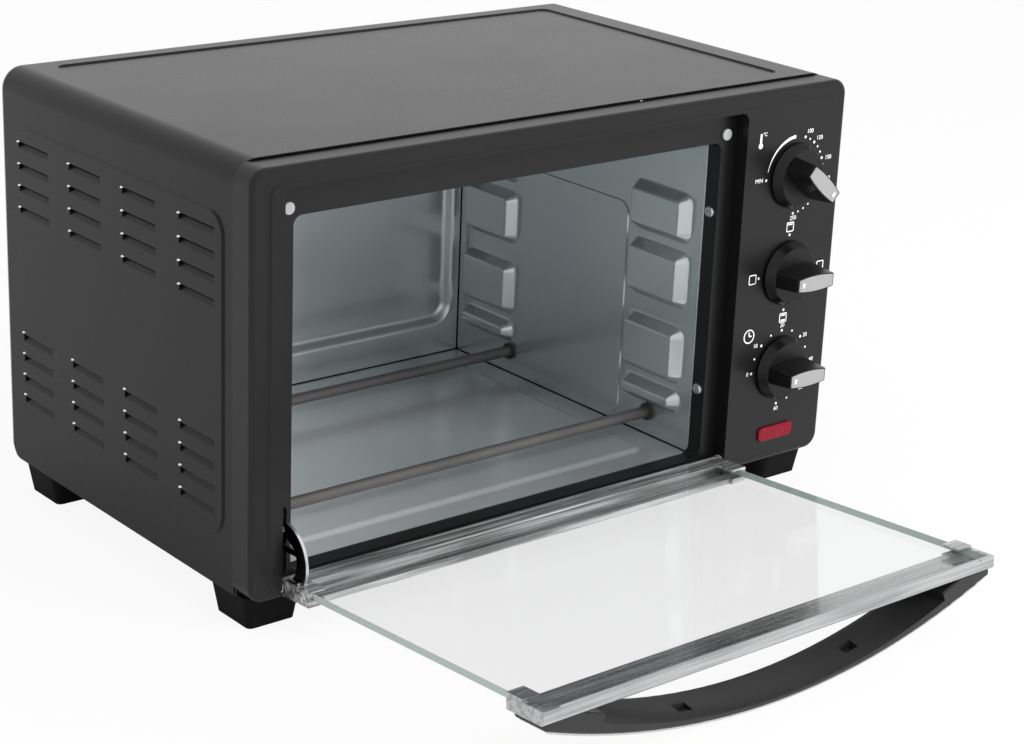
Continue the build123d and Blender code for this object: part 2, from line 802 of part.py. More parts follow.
# Controls behind the panel, each with a neck through it, and the knobs on their shafts
y_knob = y_face - knob_gap
neck_radius = shaft_diameter / 2 + running + neck_wall
shaft_front = y_knob - shaft_in_knob
shaft_back = y_panel_back + shaft_in_body


def barrel(length, width):
    """Outline of the grip: two bowed sides between straight ends."""
    end = width * bar_end_share / 2
    with BuildLine() as outline:
        ThreePointArc((-length / 2, end), (0, width / 2), (length / 2, end))
        Line((length / 2, end), (length / 2, -end))
        ThreePointArc((length / 2, -end), (0, -width / 2), (-length / 2, -end))
        Line((-length / 2, -end), (-length / 2, end))
    make_face(outline.edges())


for name, (control_width, control_depth, control_height) in control_sizes.items():
    center = (dial_center_x, dial_rises[name])
    screw_places = [(center[0] + turn * control_screw_pitch / 2, center[1]) for turn in (-1, 1)]
    with BuildPart() as control:
        with BuildSketch(front_view(y_panel_back)):
            with Locations(center):
                RectangleRounded(control_width, control_height, rim_edge)
        extrude(amount=-control_depth)
        with BuildSketch(front_view(y_face)):
            with Locations(center):
                Circle(neck_radius)
        extrude(amount=-(face_raise + 2 * sheet))
        with BuildSketch(front_view(y_face)):
            with Locations(center):
                Circle(shaft_diameter / 2 + running)
        extrude(amount=-(shaft_back + fit - y_face), mode=Mode.SUBTRACT)
        with BuildSketch(front_view(y_panel_back)):
            with Locations(*screw_places):
                Circle(screw_diameter / 2 + screw_play)
        extrude(amount=-screw_length, mode=Mode.SUBTRACT)
    save(control, f"{name}_body")
    with BuildPart() as shaft:
        with BuildSketch(front_view(shaft_back)):
            with Locations(center):
                Circle(shaft_diameter / 2)
        extrude(amount=shaft_back - shaft_front)
    save(shaft, f"{name}_shaft")
    with BuildPart() as knob:
        with BuildSketch(dial_view(name, y_knob)):
            Circle(knob_diameter / 2)
        extrude(amount=knob_skirt, taper=knob_draft)
        fillet(knob.faces().sort_by(Axis.Y)[0].edges(), knob_edge)
        with BuildSketch(dial_view(name, y_knob - knob_skirt + 2 * knob_edge)):
            barrel(bar_length, bar_width)
        with BuildSketch(dial_view(name, y_knob - knob_height)):
            barrel(bar_front_length, bar_front_width)
        loft()
        with BuildSketch(dial_view(name, y_knob - knob_height)):
            barrel(insert_length + 2 * fit, insert_width + 2 * fit)
        extrude(amount=-(insert_thickness - insert_proud), mode=Mode.SUBTRACT)
        with BuildSketch(dial_view(name, y_knob)):
            Circle(shaft_diameter / 2 + running)
        extrude(amount=shaft_in_knob + fit, mode=Mode.SUBTRACT)
    save(knob, f"{name}_knob")
    with BuildPart() as insert:
        with BuildSketch(dial_view(name, y_knob - knob_height - insert_proud)):
            barrel(insert_length, insert_width)
        extrude(amount=-insert_thickness)
        chamfer(insert.faces().sort_by(Axis.Y)[0].edges(), insert_proud / 2)
    save(insert, f"{name}_insert")

with BuildPart() as control_screws:
    for rise in dial_rises.values():
        for turn in (-1, 1):
            screw_x = dial_center_x + turn * control_screw_pitch / 2
            seat = Plane(origin=(screw_x, y_face, rise), x_dir=(1, 0, 0), z_dir=(0, -1, 0))
            add_screw(seat, head_height=control_head_height)
save(control_screws, "control_screws")

# Pilot lamp: a clear lens clipped through the panel, with its holder behind
with BuildPart() as lamp_lens:
    lamp_center = (dial_center_x, z_base + lamp_rise)
    with BuildSketch(front_view(y_panel_back)):
        with Locations(lamp_center):
            RectangleRounded(lamp_width, lamp_height, lamp_radius)
    extrude(amount=sheet + face_raise + lamp_proud)
    fillet(lamp_lens.faces().sort_by(Axis.Y)[0].edges(), lamp_proud / 2)
    with BuildSketch(front_view(y_panel_back)):
        with Locations(lamp_center):
            RectangleRounded(lamp_width + 2 * lamp_flange, lamp_height + 2 * lamp_flange, lamp_radius)
    extrude(amount=-lamp_flange_depth)
save(lamp_lens, "lamp_lens")

with BuildPart() as lamp_holder:
    with BuildSketch(front_view(y_panel_back + lamp_flange_depth)):
        with Locations(lamp_center):
            RectangleRounded(lamp_width, lamp_height + 2 * lamp_flange, lamp_radius)
    extrude(amount=-lamp_holder_depth)
save(lamp_holder, "lamp_holder")

# Door rails: the lower one turns on the hinge, the upper one carries the handle
rail_length = door_width - 2 * rail_end
rail_left = zone_x - rail_length / 2
glass_out = glass_thickness - glass_inset
glass_top = door_length - upper_rail_lip - fit
handle_screw_x = rail_length / 2 - handle_screw_inset
rail_screw_y = door_length - upper_rail_length / 2
door_axis = Axis((zone_x, y_hinge, hinge_z), (0, -tilt_cos, tilt_sin))
with BuildPart() as door_lower_rail:
    with BuildSketch(door_section(rail_left)):
        Circle(rail_knuckle)
        with Locations((0, (rail_outer - rail_inner) / 2)):
            Rectangle(lower_rail_length, rail_inner + rail_outer, align=(Align.MIN, Align.CENTER))
        with Locations((glass_start - fit, -glass_inset - fit)):
            Rectangle(
                lower_rail_length,
                glass_thickness + 2 * fit,
                align=(Align.MIN, Align.MIN),
                mode=Mode.SUBTRACT,
            )
        with Locations((glass_start + lower_rail_lip, -2 * rail_inner)):
            Rectangle(
                lower_rail_length, 2 * rail_inner, align=(Align.MIN, Align.MIN), mode=Mode.SUBTRACT
            )
        with Locations((glass_start / 2, -rail_inner)):
            with GridLocations(rail_groove_pitch, 0, rail_grooves, 1):
                Rectangle(rail_groove, 2 * rail_groove_depth, mode=Mode.SUBTRACT)
    extrude(amount=rail_length)
save(door_lower_rail, "door_lower_rail")

with BuildPart() as door_upper_rail:
    with BuildSketch(door_section(rail_left)):
        with Locations((door_length - upper_rail_length, glass_out + fit)):
            Rectangle(upper_rail_length, rail_outer - glass_out - fit, align=(Align.MIN, Align.MIN))
        with Locations((door_length - upper_rail_lip, -glass_inset)):
            Rectangle(upper_rail_lip, rail_outer + glass_inset, align=(Align.MIN, Align.MIN))
    extrude(amount=rail_length)
    fillet(door_upper_rail.edges().filter_by(Axis.X).group_by(door_axis)[-1], rail_bead)
    with BuildSketch(door_view(glass_out + fit)):
        with Locations((-handle_screw_x, rail_screw_y), (handle_screw_x, rail_screw_y)):
            Circle(screw_head / 2 + fit)
    extrude(amount=screw_head_height, mode=Mode.SUBTRACT)
    with BuildSketch(door_view(glass_out + fit)):
        with Locations((-handle_screw_x, rail_screw_y), (handle_screw_x, rail_screw_y)):
            Circle(screw_diameter / 2 + screw_play)
    extrude(amount=rail_outer, mode=Mode.SUBTRACT)
save(door_upper_rail, "door_upper_rail")

with BuildPart() as door_glass:
    with BuildSketch(door_view(-glass_inset)):
        with Locations((0, (glass_start + glass_top) / 2)):
            RectangleRounded(door_width - 2 * glass_side, glass_top - glass_start, cap_edge)
    extrude(amount=glass_thickness)
save(door_glass, "door_glass")

# Door end caps: they close the rails, hold the glass corners and carry the hinge pins
glass_slot = 2 * (rail_end - glass_side + fit)
for side, hand in ((-1, "left"), (1, "right")):
    cap_start = zone_x + (door_width / 2 - rail_end if side > 0 else -door_width / 2)
    with BuildPart() as hinge_cap:
        with BuildSketch(door_section(cap_start)):
            Circle(rail_knuckle)
            with Locations((0, (rail_outer - rail_inner) / 2)):
                Rectangle(
                    lower_rail_length + cap_overlap, rail_inner + rail_outer, align=(Align.MIN, Align.CENTER)
                )
        extrude(amount=rail_end)
        with BuildSketch(door_view(-glass_inset - fit)):
            with Locations((side * (door_width / 2 - rail_end), glass_start - fit)):
                Rectangle(glass_slot, 2 * lower_rail_length, align=(Align.CENTER, Align.MIN))
        extrude(amount=glass_thickness + 2 * fit, mode=Mode.SUBTRACT)
        pin_start = zone_x + side * (door_width / 2 - hinge_pin_in)
        with BuildSketch(side_view(side, side * pin_start)):
            with Locations((side * y_hinge, hinge_z)):
                Circle(hinge_pin / 2 + running)
        extrude(amount=hinge_pin_in, mode=Mode.SUBTRACT)
    save(hinge_cap, f"hinge_cap_{hand}")
    with BuildPart() as pin:
        with BuildSketch(side_view(side, side * pin_start)):
            with Locations((side * y_hinge, hinge_z)):
                Circle(hinge_pin / 2)
        extrude(amount=hinge_pin_in + hinge_pin_out)
    save(pin, f"hinge_pin_{hand}")
    with BuildPart() as bush:
        bush_seat = side_view(side, side * (zone_right if side > 0 else zone_left))
        with BuildSketch(bush_seat):
            with Locations((side * y_hinge, hinge_z)):
                Circle(hinge_pin / 2 + running + hinge_bush_wall)
        extrude(amount=hinge_bush_length)
        with BuildSketch(bush_seat):
            with Locations((side * y_hinge, hinge_z)):
                Circle(hinge_pin / 2 + running + hinge_bush_wall + hinge_bush_flange)
        extrude(amount=-hinge_bush_flange_length)
        with BuildSketch(bush_seat):
            with Locations((side * y_hinge, hinge_z)):
                Circle(hinge_pin / 2 + running)
        extrude(amount=2 * hinge_bush_length, both=True, mode=Mode.SUBTRACT)
    save(bush, f"hinge_bush_{hand}")
    with BuildPart() as rail_cap:
        with BuildSketch(door_section(cap_start)):
            with Locations((door_length - upper_rail_length - cap_overlap, -rail_inner)):
                Rectangle(
                    upper_rail_length + cap_overlap, rail_inner + rail_outer, align=(Align.MIN, Align.MIN)
                )
        extrude(amount=rail_end)
        fillet(rail_cap.edges().filter_by(Axis.X).group_by(door_axis)[-1], rail_bead)
        with BuildSketch(door_view(-glass_inset - fit)):
            with Locations((side * (door_width / 2 - rail_end), glass_top + fit)):
                Rectangle(glass_slot, 2 * upper_rail_length, align=(Align.CENTER, Align.MAX))
        extrude(amount=glass_thickness + 2 * fit, mode=Mode.SUBTRACT)
        with BuildSketch(door_view(-glass_inset)):
            with Locations((side * (door_width / 2 - rail_end / 2), door_length + cap_overlap)):
                Rectangle(
                    2 * rail_end,
                    upper_rail_length + 2 * cap_overlap - cap_tab,
                    align=(Align.CENTER, Align.MAX),
                )
        extrude(amount=-rail_inner, mode=Mode.SUBTRACT)
    save(rail_cap, f"rail_cap_{hand}")

# Handle: a bowed moulding on the upper rail, with a bright trim strip on its outer face
handle_half = door_width / 2 - handle_end_inset
bow_out = rail_outer + handle_gap + handle_thickness
end_out = rail_outer + handle_end
grip_half = handle_half - handle_root
grip_radius = (grip_half**2 + handle_gap**2) / (2 * handle_gap)
pocket_drop = grip_radius - sqrt(grip_radius**2 - (pocket_spread / 2) ** 2)
pocket_floor = rail_outer + handle_gap - pocket_drop + gutter_depth + pocket_depth
gutter_turn = asin((grip_half - gutter_end) / grip_radius)
along_door = Vector(0, -tilt_cos, tilt_sin)
bow_axis = Axis(door_view(rail_outer + handle_gap - grip_radius).origin, along_door)
gutter_side = Vector(-sin(gutter_turn), -tilt_sin * cos(gutter_turn), -tilt_cos * cos(gutter_turn))
gutter_plane = Plane(origin=bow_axis.position, x_dir=along_door, z_dir=along_door.cross(gutter_side))
handle_middle = (handle_near + handle_far) / 2
with BuildPart() as handle:
    with BuildSketch(door_plan(handle_far)):
        with BuildLine():
            Line((-handle_half, rail_outer), (-handle_half, end_out))
            ThreePointArc((-handle_half, end_out), (0, bow_out), (handle_half, end_out))
            Line((handle_half, end_out), (handle_half, rail_outer))
            Line((handle_half, rail_outer), (grip_half, rail_outer))
            ThreePointArc((grip_half, rail_outer), (0, rail_outer + handle_gap), (-grip_half, rail_outer))
            Line((-grip_half, rail_outer), (-handle_half, rail_outer))
        make_face()
    extrude(amount=handle_width)
    fillet(handle.edges().filter_by(GeomType.CIRCLE), handle_edge)
    with BuildSketch(gutter_plane):
        with Locations((handle_far, grip_radius + gutter_depth - gutter_radius)):
            Circle(gutter_radius)
    revolve(axis=bow_axis, revolution_arc=2 * degrees(gutter_turn), mode=Mode.SUBTRACT)
    with BuildSketch(door_view(pocket_floor)):
        with Locations((-pocket_spread / 2, handle_middle), (pocket_spread / 2, handle_middle)):
            Rectangle(pocket_length, pocket_width)
    extrude(amount=rail_outer - pocket_floor, mode=Mode.SUBTRACT)
    with BuildSketch(door_view(rail_outer)):
        with Locations((-handle_screw_x, rail_screw_y), (handle_screw_x, rail_screw_y)):
            Circle(screw_diameter / 2 + screw_play)
    extrude(amount=handle_screw_length, mode=Mode.SUBTRACT)
save(handle, "handle")

bow_rise = bow_out - end_out
bow_radius = (handle_half**2 + bow_rise**2) / (2 * bow_rise)
bow_center = bow_out - bow_radius
trim_turn = asin((handle_half - trim_margin) / bow_radius)
with BuildPart() as handle_trim:
    with BuildSketch(door_plan(handle_far - handle_edge)):
        with BuildLine() as trim_line:
            CenterArc((0, bow_center), bow_radius + running, 90 - degrees(trim_turn), 2 * degrees(trim_turn))
            CenterArc(
                (0, bow_center),
                bow_radius + trim_thickness,
                90 - degrees(trim_turn),
                2 * degrees(trim_turn),
            )
            inner_arc, outer_arc = trim_line.edges()
            Line(inner_arc @ 0, outer_arc @ 0)
            Line(inner_arc @ 1, outer_arc @ 1)
        make_face()
    extrude(amount=handle_width - 2 * handle_edge)
save(handle_trim, "handle_trim")

with BuildPart() as handle_screws:
    for side in (-1, 1):
        seat = door_view(glass_out + fit + screw_head_height)
        head_place = seat.from_local_coords((side * handle_screw_x, rail_screw_y, 0))
        add_screw(Plane(origin=head_place, z_dir=-seat.z_dir), length=handle_screw_length - fit)
save(handle_screws, "handle_screws")

# Hinge arm: a stamped plate on the door that draws the spring through a slot in the recess
arm_hook = -arm_center - arm_radius + arm_band / 2
with BuildPart() as hinge_arm:
    arm_foot = -rail_inner - fit
    with BuildSketch(door_section(arm_x - arm_thickness / 2)):
        with Locations((-arm_back, -arm_center)):
            Circle(arm_radius)
            Circle(arm_radius - arm_band, mode=Mode.SUBTRACT)
        with Locations((-arm_tail, -arm_spur_rise)):
            Rectangle(arm_radius - arm_band / 2, arm_spur, align=(Align.MIN, Align.MAX))
        with Locations((-arm_tail, arm_foot)):
            Rectangle(2 * arm_radius, 3 * arm_radius, align=(Align.MIN, Align.MAX), mode=Mode.INTERSECT)
        with Locations((-arm_hook_back, arm_hook)):
            Circle(arm_hole / 2, mode=Mode.SUBTRACT)
    extrude(amount=arm_thickness)
    with BuildSketch(door_view(arm_foot)):
        with Locations((arm_x - zone_x, arm_root)):
            Rectangle(arm_foot_width, arm_foot_length, align=(Align.CENTER, Align.MIN))
    extrude(amount=-arm_foot_thickness)
save(hinge_arm, "hinge_arm")

# Door spring, drawn plain as it is hidden, with its hook in the arm and its other end in a bracket
hook_at = door_section(arm_x).from_local_coords((-arm_hook_back, arm_hook, 0))
spring_x = arm_x - arm_thickness / 2 - spring_wire_gap - spring_wire / 2
y_anchor = y_front + spring_anchor
with BuildPart() as door_spring:
    with BuildSketch(front_view(hook_at.Y)):
        with Locations((spring_x, hook_at.Z)):
            Circle(spring_wire / 2)
    extrude(amount=-(y_anchor + anchor_thickness + spring_diameter / 2 - hook_at.Y))
    with BuildSketch(front_view(y_front + spring_start)):
        with Locations((spring_x, hook_at.Z)):
            Circle(spring_diameter / 2)
    extrude(amount=-spring_length)
    with BuildSketch(front_view(y_anchor + anchor_thickness + fit)):
        with Locations((spring_x, hook_at.Z)):
            Circle(spring_diameter / 4)
    extrude(amount=-spring_diameter / 2)
    with BuildSketch(Plane.YZ.offset(spring_x)):
        with Locations((hook_at.Y, hook_at.Z)):
            Circle(spring_wire / 2)
    extrude(amount=arm_x + arm_thickness - spring_x)
save(door_spring, "door_spring")

with BuildPart() as spring_anchor_bracket:
    with BuildSketch(Plane.YZ.offset(spring_x)):
        with BuildLine():
            Polyline(
                (y_anchor, z_base + sheet),
                (y_anchor, hook_at.Z + anchor_top),
                (y_anchor + anchor_thickness, hook_at.Z + anchor_top),
                (y_anchor + anchor_thickness, z_base + sheet + anchor_thickness),
                (y_anchor + anchor_foot, z_base + sheet + anchor_thickness),
                (y_anchor + anchor_foot, z_base + sheet),
                close=True,
            )
        make_face()
    extrude(amount=anchor_width / 2, both=True)
    with BuildSketch(front_view(y_anchor)):
        with Locations((spring_x, hook_at.Z)):
            Circle(spring_wire)
    extrude(amount=-anchor_thickness, mode=Mode.SUBTRACT)
save(spring_anchor_bracket, "spring_anchor")
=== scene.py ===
from math import cos, pi, radians, sin

import bpy
from mathutils import Matrix, Vector


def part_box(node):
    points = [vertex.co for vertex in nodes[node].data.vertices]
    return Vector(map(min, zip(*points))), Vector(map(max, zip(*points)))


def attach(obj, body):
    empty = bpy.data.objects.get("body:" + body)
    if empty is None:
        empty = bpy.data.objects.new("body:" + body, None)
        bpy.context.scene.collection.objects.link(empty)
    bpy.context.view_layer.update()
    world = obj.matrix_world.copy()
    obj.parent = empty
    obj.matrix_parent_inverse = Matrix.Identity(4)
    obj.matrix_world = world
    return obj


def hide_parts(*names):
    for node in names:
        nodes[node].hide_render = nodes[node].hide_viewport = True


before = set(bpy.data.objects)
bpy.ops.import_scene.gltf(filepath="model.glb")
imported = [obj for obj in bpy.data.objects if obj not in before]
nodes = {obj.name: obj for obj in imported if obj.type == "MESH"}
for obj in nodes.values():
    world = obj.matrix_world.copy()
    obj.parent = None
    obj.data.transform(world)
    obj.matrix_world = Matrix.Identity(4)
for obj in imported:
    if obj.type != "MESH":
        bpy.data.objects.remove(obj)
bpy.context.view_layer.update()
scene = bpy.context.scene
scene.view_settings.view_transform = "Standard"

# Camera
# A short telephoto lens stands off the front left corner, a little above the casing,
# and looks down into the open cavity and along the lowered door.
camera_place = Vector((-0.7922, -0.92691, 0.5269))
camera_ahead = Vector((0.605, 0.7227, -0.3343)).normalized()
camera_side = camera_ahead.cross(Vector((0.1819, 0.2832, 0.9416))).normalized()
camera_up = camera_side.cross(camera_ahead)
camera_lens = bpy.data.cameras.new("camera_lens")
camera_lens.sensor_width = 36.0
camera_lens.lens = 84.02
camera = bpy.data.objects.new("camera", camera_lens)
scene.collection.objects.link(camera)
camera_turn = Matrix((camera_side, camera_up, -camera_ahead)).transposed().to_4x4()
camera.matrix_world = Matrix.Translation(camera_place) @ camera_turn
scene.camera = camera


# Stage
# White paper lies under the oven in an evenly lit white room. One soft lamp hangs high in
# front and a stronger one stands low at the front right and reaches into the cavity. Both
# are screened, so that they don't show in bright metal.
class Wire:
    """One link of a finish. Sums on it add Math nodes, and node() adds any other kind."""

    def __init__(self, tree, socket=None):
        self.tree = tree
        self.socket = socket

    def node(self, kind, settings, sockets, out=0):
        """Add a node and give the wire from one of its outputs."""
        made = self.tree.nodes.new("ShaderNode" + kind)
        for name, value in settings.items():
            setattr(made, name, value)
        for name, value in sockets.items():
            if isinstance(value, Wire):
                self.tree.links.new(value.socket, made.inputs[name])
            else:
                made.inputs[name].default_value = value
        if made.outputs:
            return Wire(self.tree, made.outputs[out])

    def of(self, out):
        """Another output of the node that this wire comes from."""
        return Wire(self.tree, self.socket.node.outputs[out])

    def math(self, operation, other=0.0):
        return self.node("Math", {"operation": operation}, {0: self, 1: other})

    def __add__(self, other):
        return self.math("ADD", other)

    def __sub__(self, other):
        return self.math("SUBTRACT", other)

    def __rsub__(self, other):
        return self.node("Math", {"operation": "SUBTRACT"}, {0: other, 1: self})

    def __mul__(self, other):
        return self.math("MULTIPLY", other)

    def __pow__(self, other):
        return self.math("POWER", other)

    def __gt__(self, other):
        return self.math("GREATER_THAN", other)

    def __lt__(self, other):
        return self.math("LESS_THAN", other)

    def __abs__(self):
        return self.math("ABSOLUTE")

    __radd__ = __add__
    __rmul__ = __mul__

    def part(self, axis):
        """One of the three numbers of a place or a direction."""
        return self.node("SeparateXYZ", {}, {"Vector": self}, axis)

    def along(self, share):
        """The same place drawn out along X, so that grain becomes lines."""
        return self.node("Mapping", {}, {"Vector": self, "Scale": (share, 1.0, 1.0)})

    def noise(self, scale, detail):
        """Grain over a place, from 0 to 1, its scale in spots per metre."""
        return self.node("TexNoise", {}, {"Vector": self, "Scale": scale, "Detail": detail}, "Fac")

    def ramp(self, low, high):
        """0 up to one level and 1 from the other on, with an even rise between."""
        return self.node("MapRange", {}, {"Value": self, "From Min": low, "From Max": high})

    def blend(self, first, second):
        """The colour at this share of the way between two others."""
        return self.node("Mix", {"data_type": "RGBA"}, {0: self, 6: first, 7: second}, 2)

    def relief(self, strength, depth):
        """The normal of a surface that has this height."""
        return self.node("Bump", {}, {"Strength": strength, "Distance": depth, "Height": self})


def shown_rays(mix, mirrored=1.0):
    """1 for rays that show the room itself, straight or through glass, and a share in mirrors."""
    path = mix.node("LightPath", {}, {}, "Is Camera Ray")
    rays = path + path.of("Is Glossy Ray") * mirrored + path.of("Is Transmission Ray")
    return rays.math("MINIMUM", 1.0)


room = bpy.data.worlds.new("white_room")
scene.world = room
room.use_nodes = True
room.node_tree.nodes.clear()
room_mix = Wire(room.node_tree)
room_level = 0.7
room_strength = room_level + (1 - room_level) * shown_rays(room_mix)
room_light = room_mix.node("Background", {}, {"Color": (1, 1, 1, 1), "Strength": room_strength})
room_mix.node("OutputWorld", {}, {"Surface": room_light})


def new_finish(name):
    """An empty material, and the wire that carries the place on the piece."""
    material = bpy.data.materials.new(name)
    material.use_nodes = True
    material.node_tree.nodes.clear()
    return material, Wire(material.node_tree).node("TexCoord", {}, {}, "Object")


mm = 0.001
floor_size = 9.0
floor_drop = 0.2 * mm
bpy.ops.object.select_all(action="DESELECT")
bpy.ops.mesh.primitive_plane_add(size=floor_size, location=(0, 0, -floor_drop))
floor = bpy.context.object
floor.name = "floor"
# Painted shade: in mirrors the paper's white is dimmed under and beside the oven, standing for the
# shade the oven casts there, and stays white where the paper lies open round it.
shade_beside = (0.22, 0.62)
shade_ahead = (-0.03, -0.09)
shade_behind = (0.5, 0.9)
shade_level = 0.1
paper_glow = 0.9
floor_paper, place = new_finish("floor_paper")
across = place.part("X")
beside = abs(across).ramp(*shade_beside)
ahead = across.of("Y").ramp(*shade_ahead)
behind = across.of("Y").ramp(*shade_behind)
open_paper = beside.math("MAXIMUM", ahead.math("MAXIMUM", behind))
paper = place.node("BsdfDiffuse", {}, {"Color": (0.94, 0.94, 0.94, 1)})
white = place.node("Emission", {}, {"Color": (1, 1, 1, 1), "Strength": 1.0})
floor_share = paper_glow * shown_rays(place, shade_level + (1 - shade_level) * open_paper)
floor_look = place.node("MixShader", {}, {0: floor_share, 1: paper, 2: white})
place.node("OutputMaterial", {}, {"Surface": floor_look})
floor.data.materials.append(floor_paper)

lamp_aim = Vector((0.0, 0.0, 0.1))
for lamp_name, lamp_place, lamp_size, lamp_watts in (
    ("front_lamp", Vector((0.2, -1.6, 1.6)), 1.0, 18.0),
    ("side_lamp", Vector((1.3, -1.7, 0.45)), 0.7, 32.0),
):
    bpy.ops.object.light_add(type="AREA", location=lamp_place)
    lamp = bpy.context.object
    lamp.name = lamp_name
    lamp.data.size = lamp_size
    lamp.data.energy = lamp_watts
    lamp.visible_glossy = False
    lamp.rotation_euler = (lamp_aim - lamp_place).to_track_quat("-Z", "Y").to_euler()


# Casing
# The wrap is one bent steel sheet over the top and both sides, and the front frame is a
# stamping in the same sheet. Both have a black satin powder coat with a fine orange peel.
def lay_finish(material, sockets):
    """Close a material with one coat of the main shader."""
    mix = Wire(material.node_tree)
    coat = mix.node("BsdfPrincipled", {}, sockets)
    mix.node("OutputMaterial", {}, {"Surface": coat})


def finish_nodes(material, *names):
    """Give solids their finish."""
    for name in names:
        nodes[name].data.materials.clear()
        nodes[name].data.materials.append(material)


def powder_coat(name, dark, pale, roughness, gloss):
    """A baked coat, clouded a little, with its peel."""
    material, place = new_finish(name)
    peel = place.noise(1300.0, 1.0)
    cloud = place.noise(16.0, 3.0)
    lay_finish(
        material,
        {
            "Base Color": cloud.blend(dark, pale),
            "Roughness": roughness + 0.06 * (cloud - 0.5) + 0.05 * (peel - 0.5),
            "IOR": gloss,
            "Normal": peel.relief(0.05, 0.2 * mm),
        },
    )
    return material


casing_paint = powder_coat(
    "casing_paint",
    dark=(0.005, 0.005, 0.0052, 1),
    pale=(0.008, 0.008, 0.0083, 1),
    roughness=0.27,
    gloss=1.3,
)
frame_paint = powder_coat(
    "frame_paint",
    dark=(0.006, 0.006, 0.0063, 1),
    pale=(0.01, 0.01, 0.0105, 1),
    roughness=0.32,
    gloss=1.35,
)
finish_nodes(casing_paint, "outer_wrap")
finish_nodes(frame_paint, "front_frame")


# Louvre glints
# A painted highlight: a small bright steel corner sits at the rear end of each louvre and
# stands for the glint where the louvre's rounded end catches the light.
def joined(pieces, name):
    """One object of several, with the first as its base."""
    bpy.ops.object.select_all(action="DESELECT")
    for piece in pieces:
        piece.select_set(True)
    bpy.context.view_layer.objects.active = pieces[0]
    bpy.ops.object.join()
    whole = bpy.context.object
    whole.name = name
    return whole


wrap_low, wrap_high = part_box("outer_wrap")
louvre_columns = 4
louvre_rows = 4
louvre_tops = (wrap_high[2] - 36.2 * mm, 97.0 * mm)
louvre_pitch = 12.1 * mm
louvre_end = wrap_low[1] + 48.0 * mm
louvre_spread = 54.0 * mm
corner_length = 3.2 * mm
corner_height = 2.2 * mm
corner_stand = 1.6 * mm
corner_slope = (0, 0.35, 1)
corner_smooth = radians(40)
bpy.ops.object.select_all(action="DESELECT")
bpy.ops.mesh.primitive_uv_sphere_add(segments=12, ring_count=8, radius=0.5)
corner_model = bpy.context.object
bpy.ops.object.mode_set(mode="EDIT")
bpy.ops.mesh.select_all(action="SELECT")
bpy.ops.transform.resize(value=(corner_stand, corner_length, corner_height))
bpy.ops.mesh.bisect(plane_co=(0, 0, 0), plane_no=corner_slope, use_fill=True, clear_inner=True)
bpy.ops.object.mode_set(mode="OBJECT")
bpy.ops.object.shade_smooth_by_angle(angle=corner_smooth)
louvre_glint_steel, place = new_finish("louvre_glint_steel")
glint_grain = place.noise(2400.0, 2.0)
lay_finish(
    louvre_glint_steel,
    {
        "Base Color": glint_grain.blend((0.7, 0.7, 0.71, 1), (0.92, 0.92, 0.93, 1)),
        "Metallic": 1.0,
        "Roughness": 0.2 + 0.2 * glint_grain,
    },
)
corner_model.data.materials.append(louvre_glint_steel)
for side_name, side_face in (("left", wrap_low[0]), ("right", wrap_high[0])):
    corners = []
    for column in range(louvre_columns):
        for louvre_top in louvre_tops:
            for row in range(louvre_rows):
                corner_y = louvre_end + column * louvre_spread
                corner_z = louvre_top - row * louvre_pitch - corner_height / 3
                corner = corner_model.copy()
                corner.data = corner_model.data.copy()
                corner.data.transform(Matrix.Translation((side_face, corner_y, corner_z)))
                scene.collection.objects.link(corner)
                corners.append(corner)
    louvre_glints = joined(corners, "louvre_glints_" + side_name)
    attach(louvre_glints, "oven")
bpy.data.objects.remove(corner_model)

# Rear cover, base and inner brackets
# Galvanised sheet, left bare where it is out of sight. The crystals of the zinc show as
# flat patches a few millimetres across, some duller than others.
zinc_sheet, place = new_finish("zinc_sheet")
patch = place.node("TexVoronoi", {}, {"Vector": place, "Scale": 170.0}, "Color")
patch = patch.node("SeparateColor", {}, {"Color": patch}, "Red")
grain = place.noise(900.0, 2.0)
cloud = place.noise(9.0, 2.0)
dulled = 0.45 * patch + 0.55 * cloud
lay_finish(
    zinc_sheet,
    {
        "Base Color": dulled.blend((0.4, 0.41, 0.42, 1), (0.56, 0.57, 0.58, 1)),
        "Metallic": 1.0,
        "Roughness": 0.42 + 0.1 * (patch - 0.5) + 0.12 * (cloud - 0.5),
        "Normal": grain.relief(0.1, 0.1 * mm),
    },
)
finish_nodes(zinc_sheet, "rear_cover", "base_plate", "spring_anchor")


# Feet and cord gland
# Black mouldings with a dull spark-eroded skin. The feet are screwed through the base,
# and the gland snaps into the rear cover.
def moulded(name, dark, pale, roughness, skin, gloss=1.45):
    """A moulding's finish, its skin in spots per metre."""
    material, place = new_finish(name)
    grain = place.noise(skin, 3.0)
    cloud = place.noise(40.0, 2.0)
    lay_finish(
        material,
        {
            "Base Color": cloud.blend(dark, pale),
            "Roughness": roughness + 0.1 * (grain - 0.5),
            "IOR": gloss,
            "Normal": grain.relief(0.16, 0.2 * mm),
        },
    )
    return material


foot_black = moulded(
    "foot_black",
    dark=(0.004, 0.004, 0.004, 1),
    pale=(0.007, 0.007, 0.007, 1),
    roughness=0.6,
    skin=1500.0,
    gloss=1.16,
)
gland_black = moulded(
    "gland_black",
    dark=(0.012, 0.012, 0.012, 1),
    pale=(0.02, 0.02, 0.02, 1),
    roughness=0.5,
    skin=1200.0,
)
finish_nodes(foot_black, "foot_front_left", "foot_front_right", "foot_rear_left", "foot_rear_right")
finish_nodes(gland_black, "cord_gland")

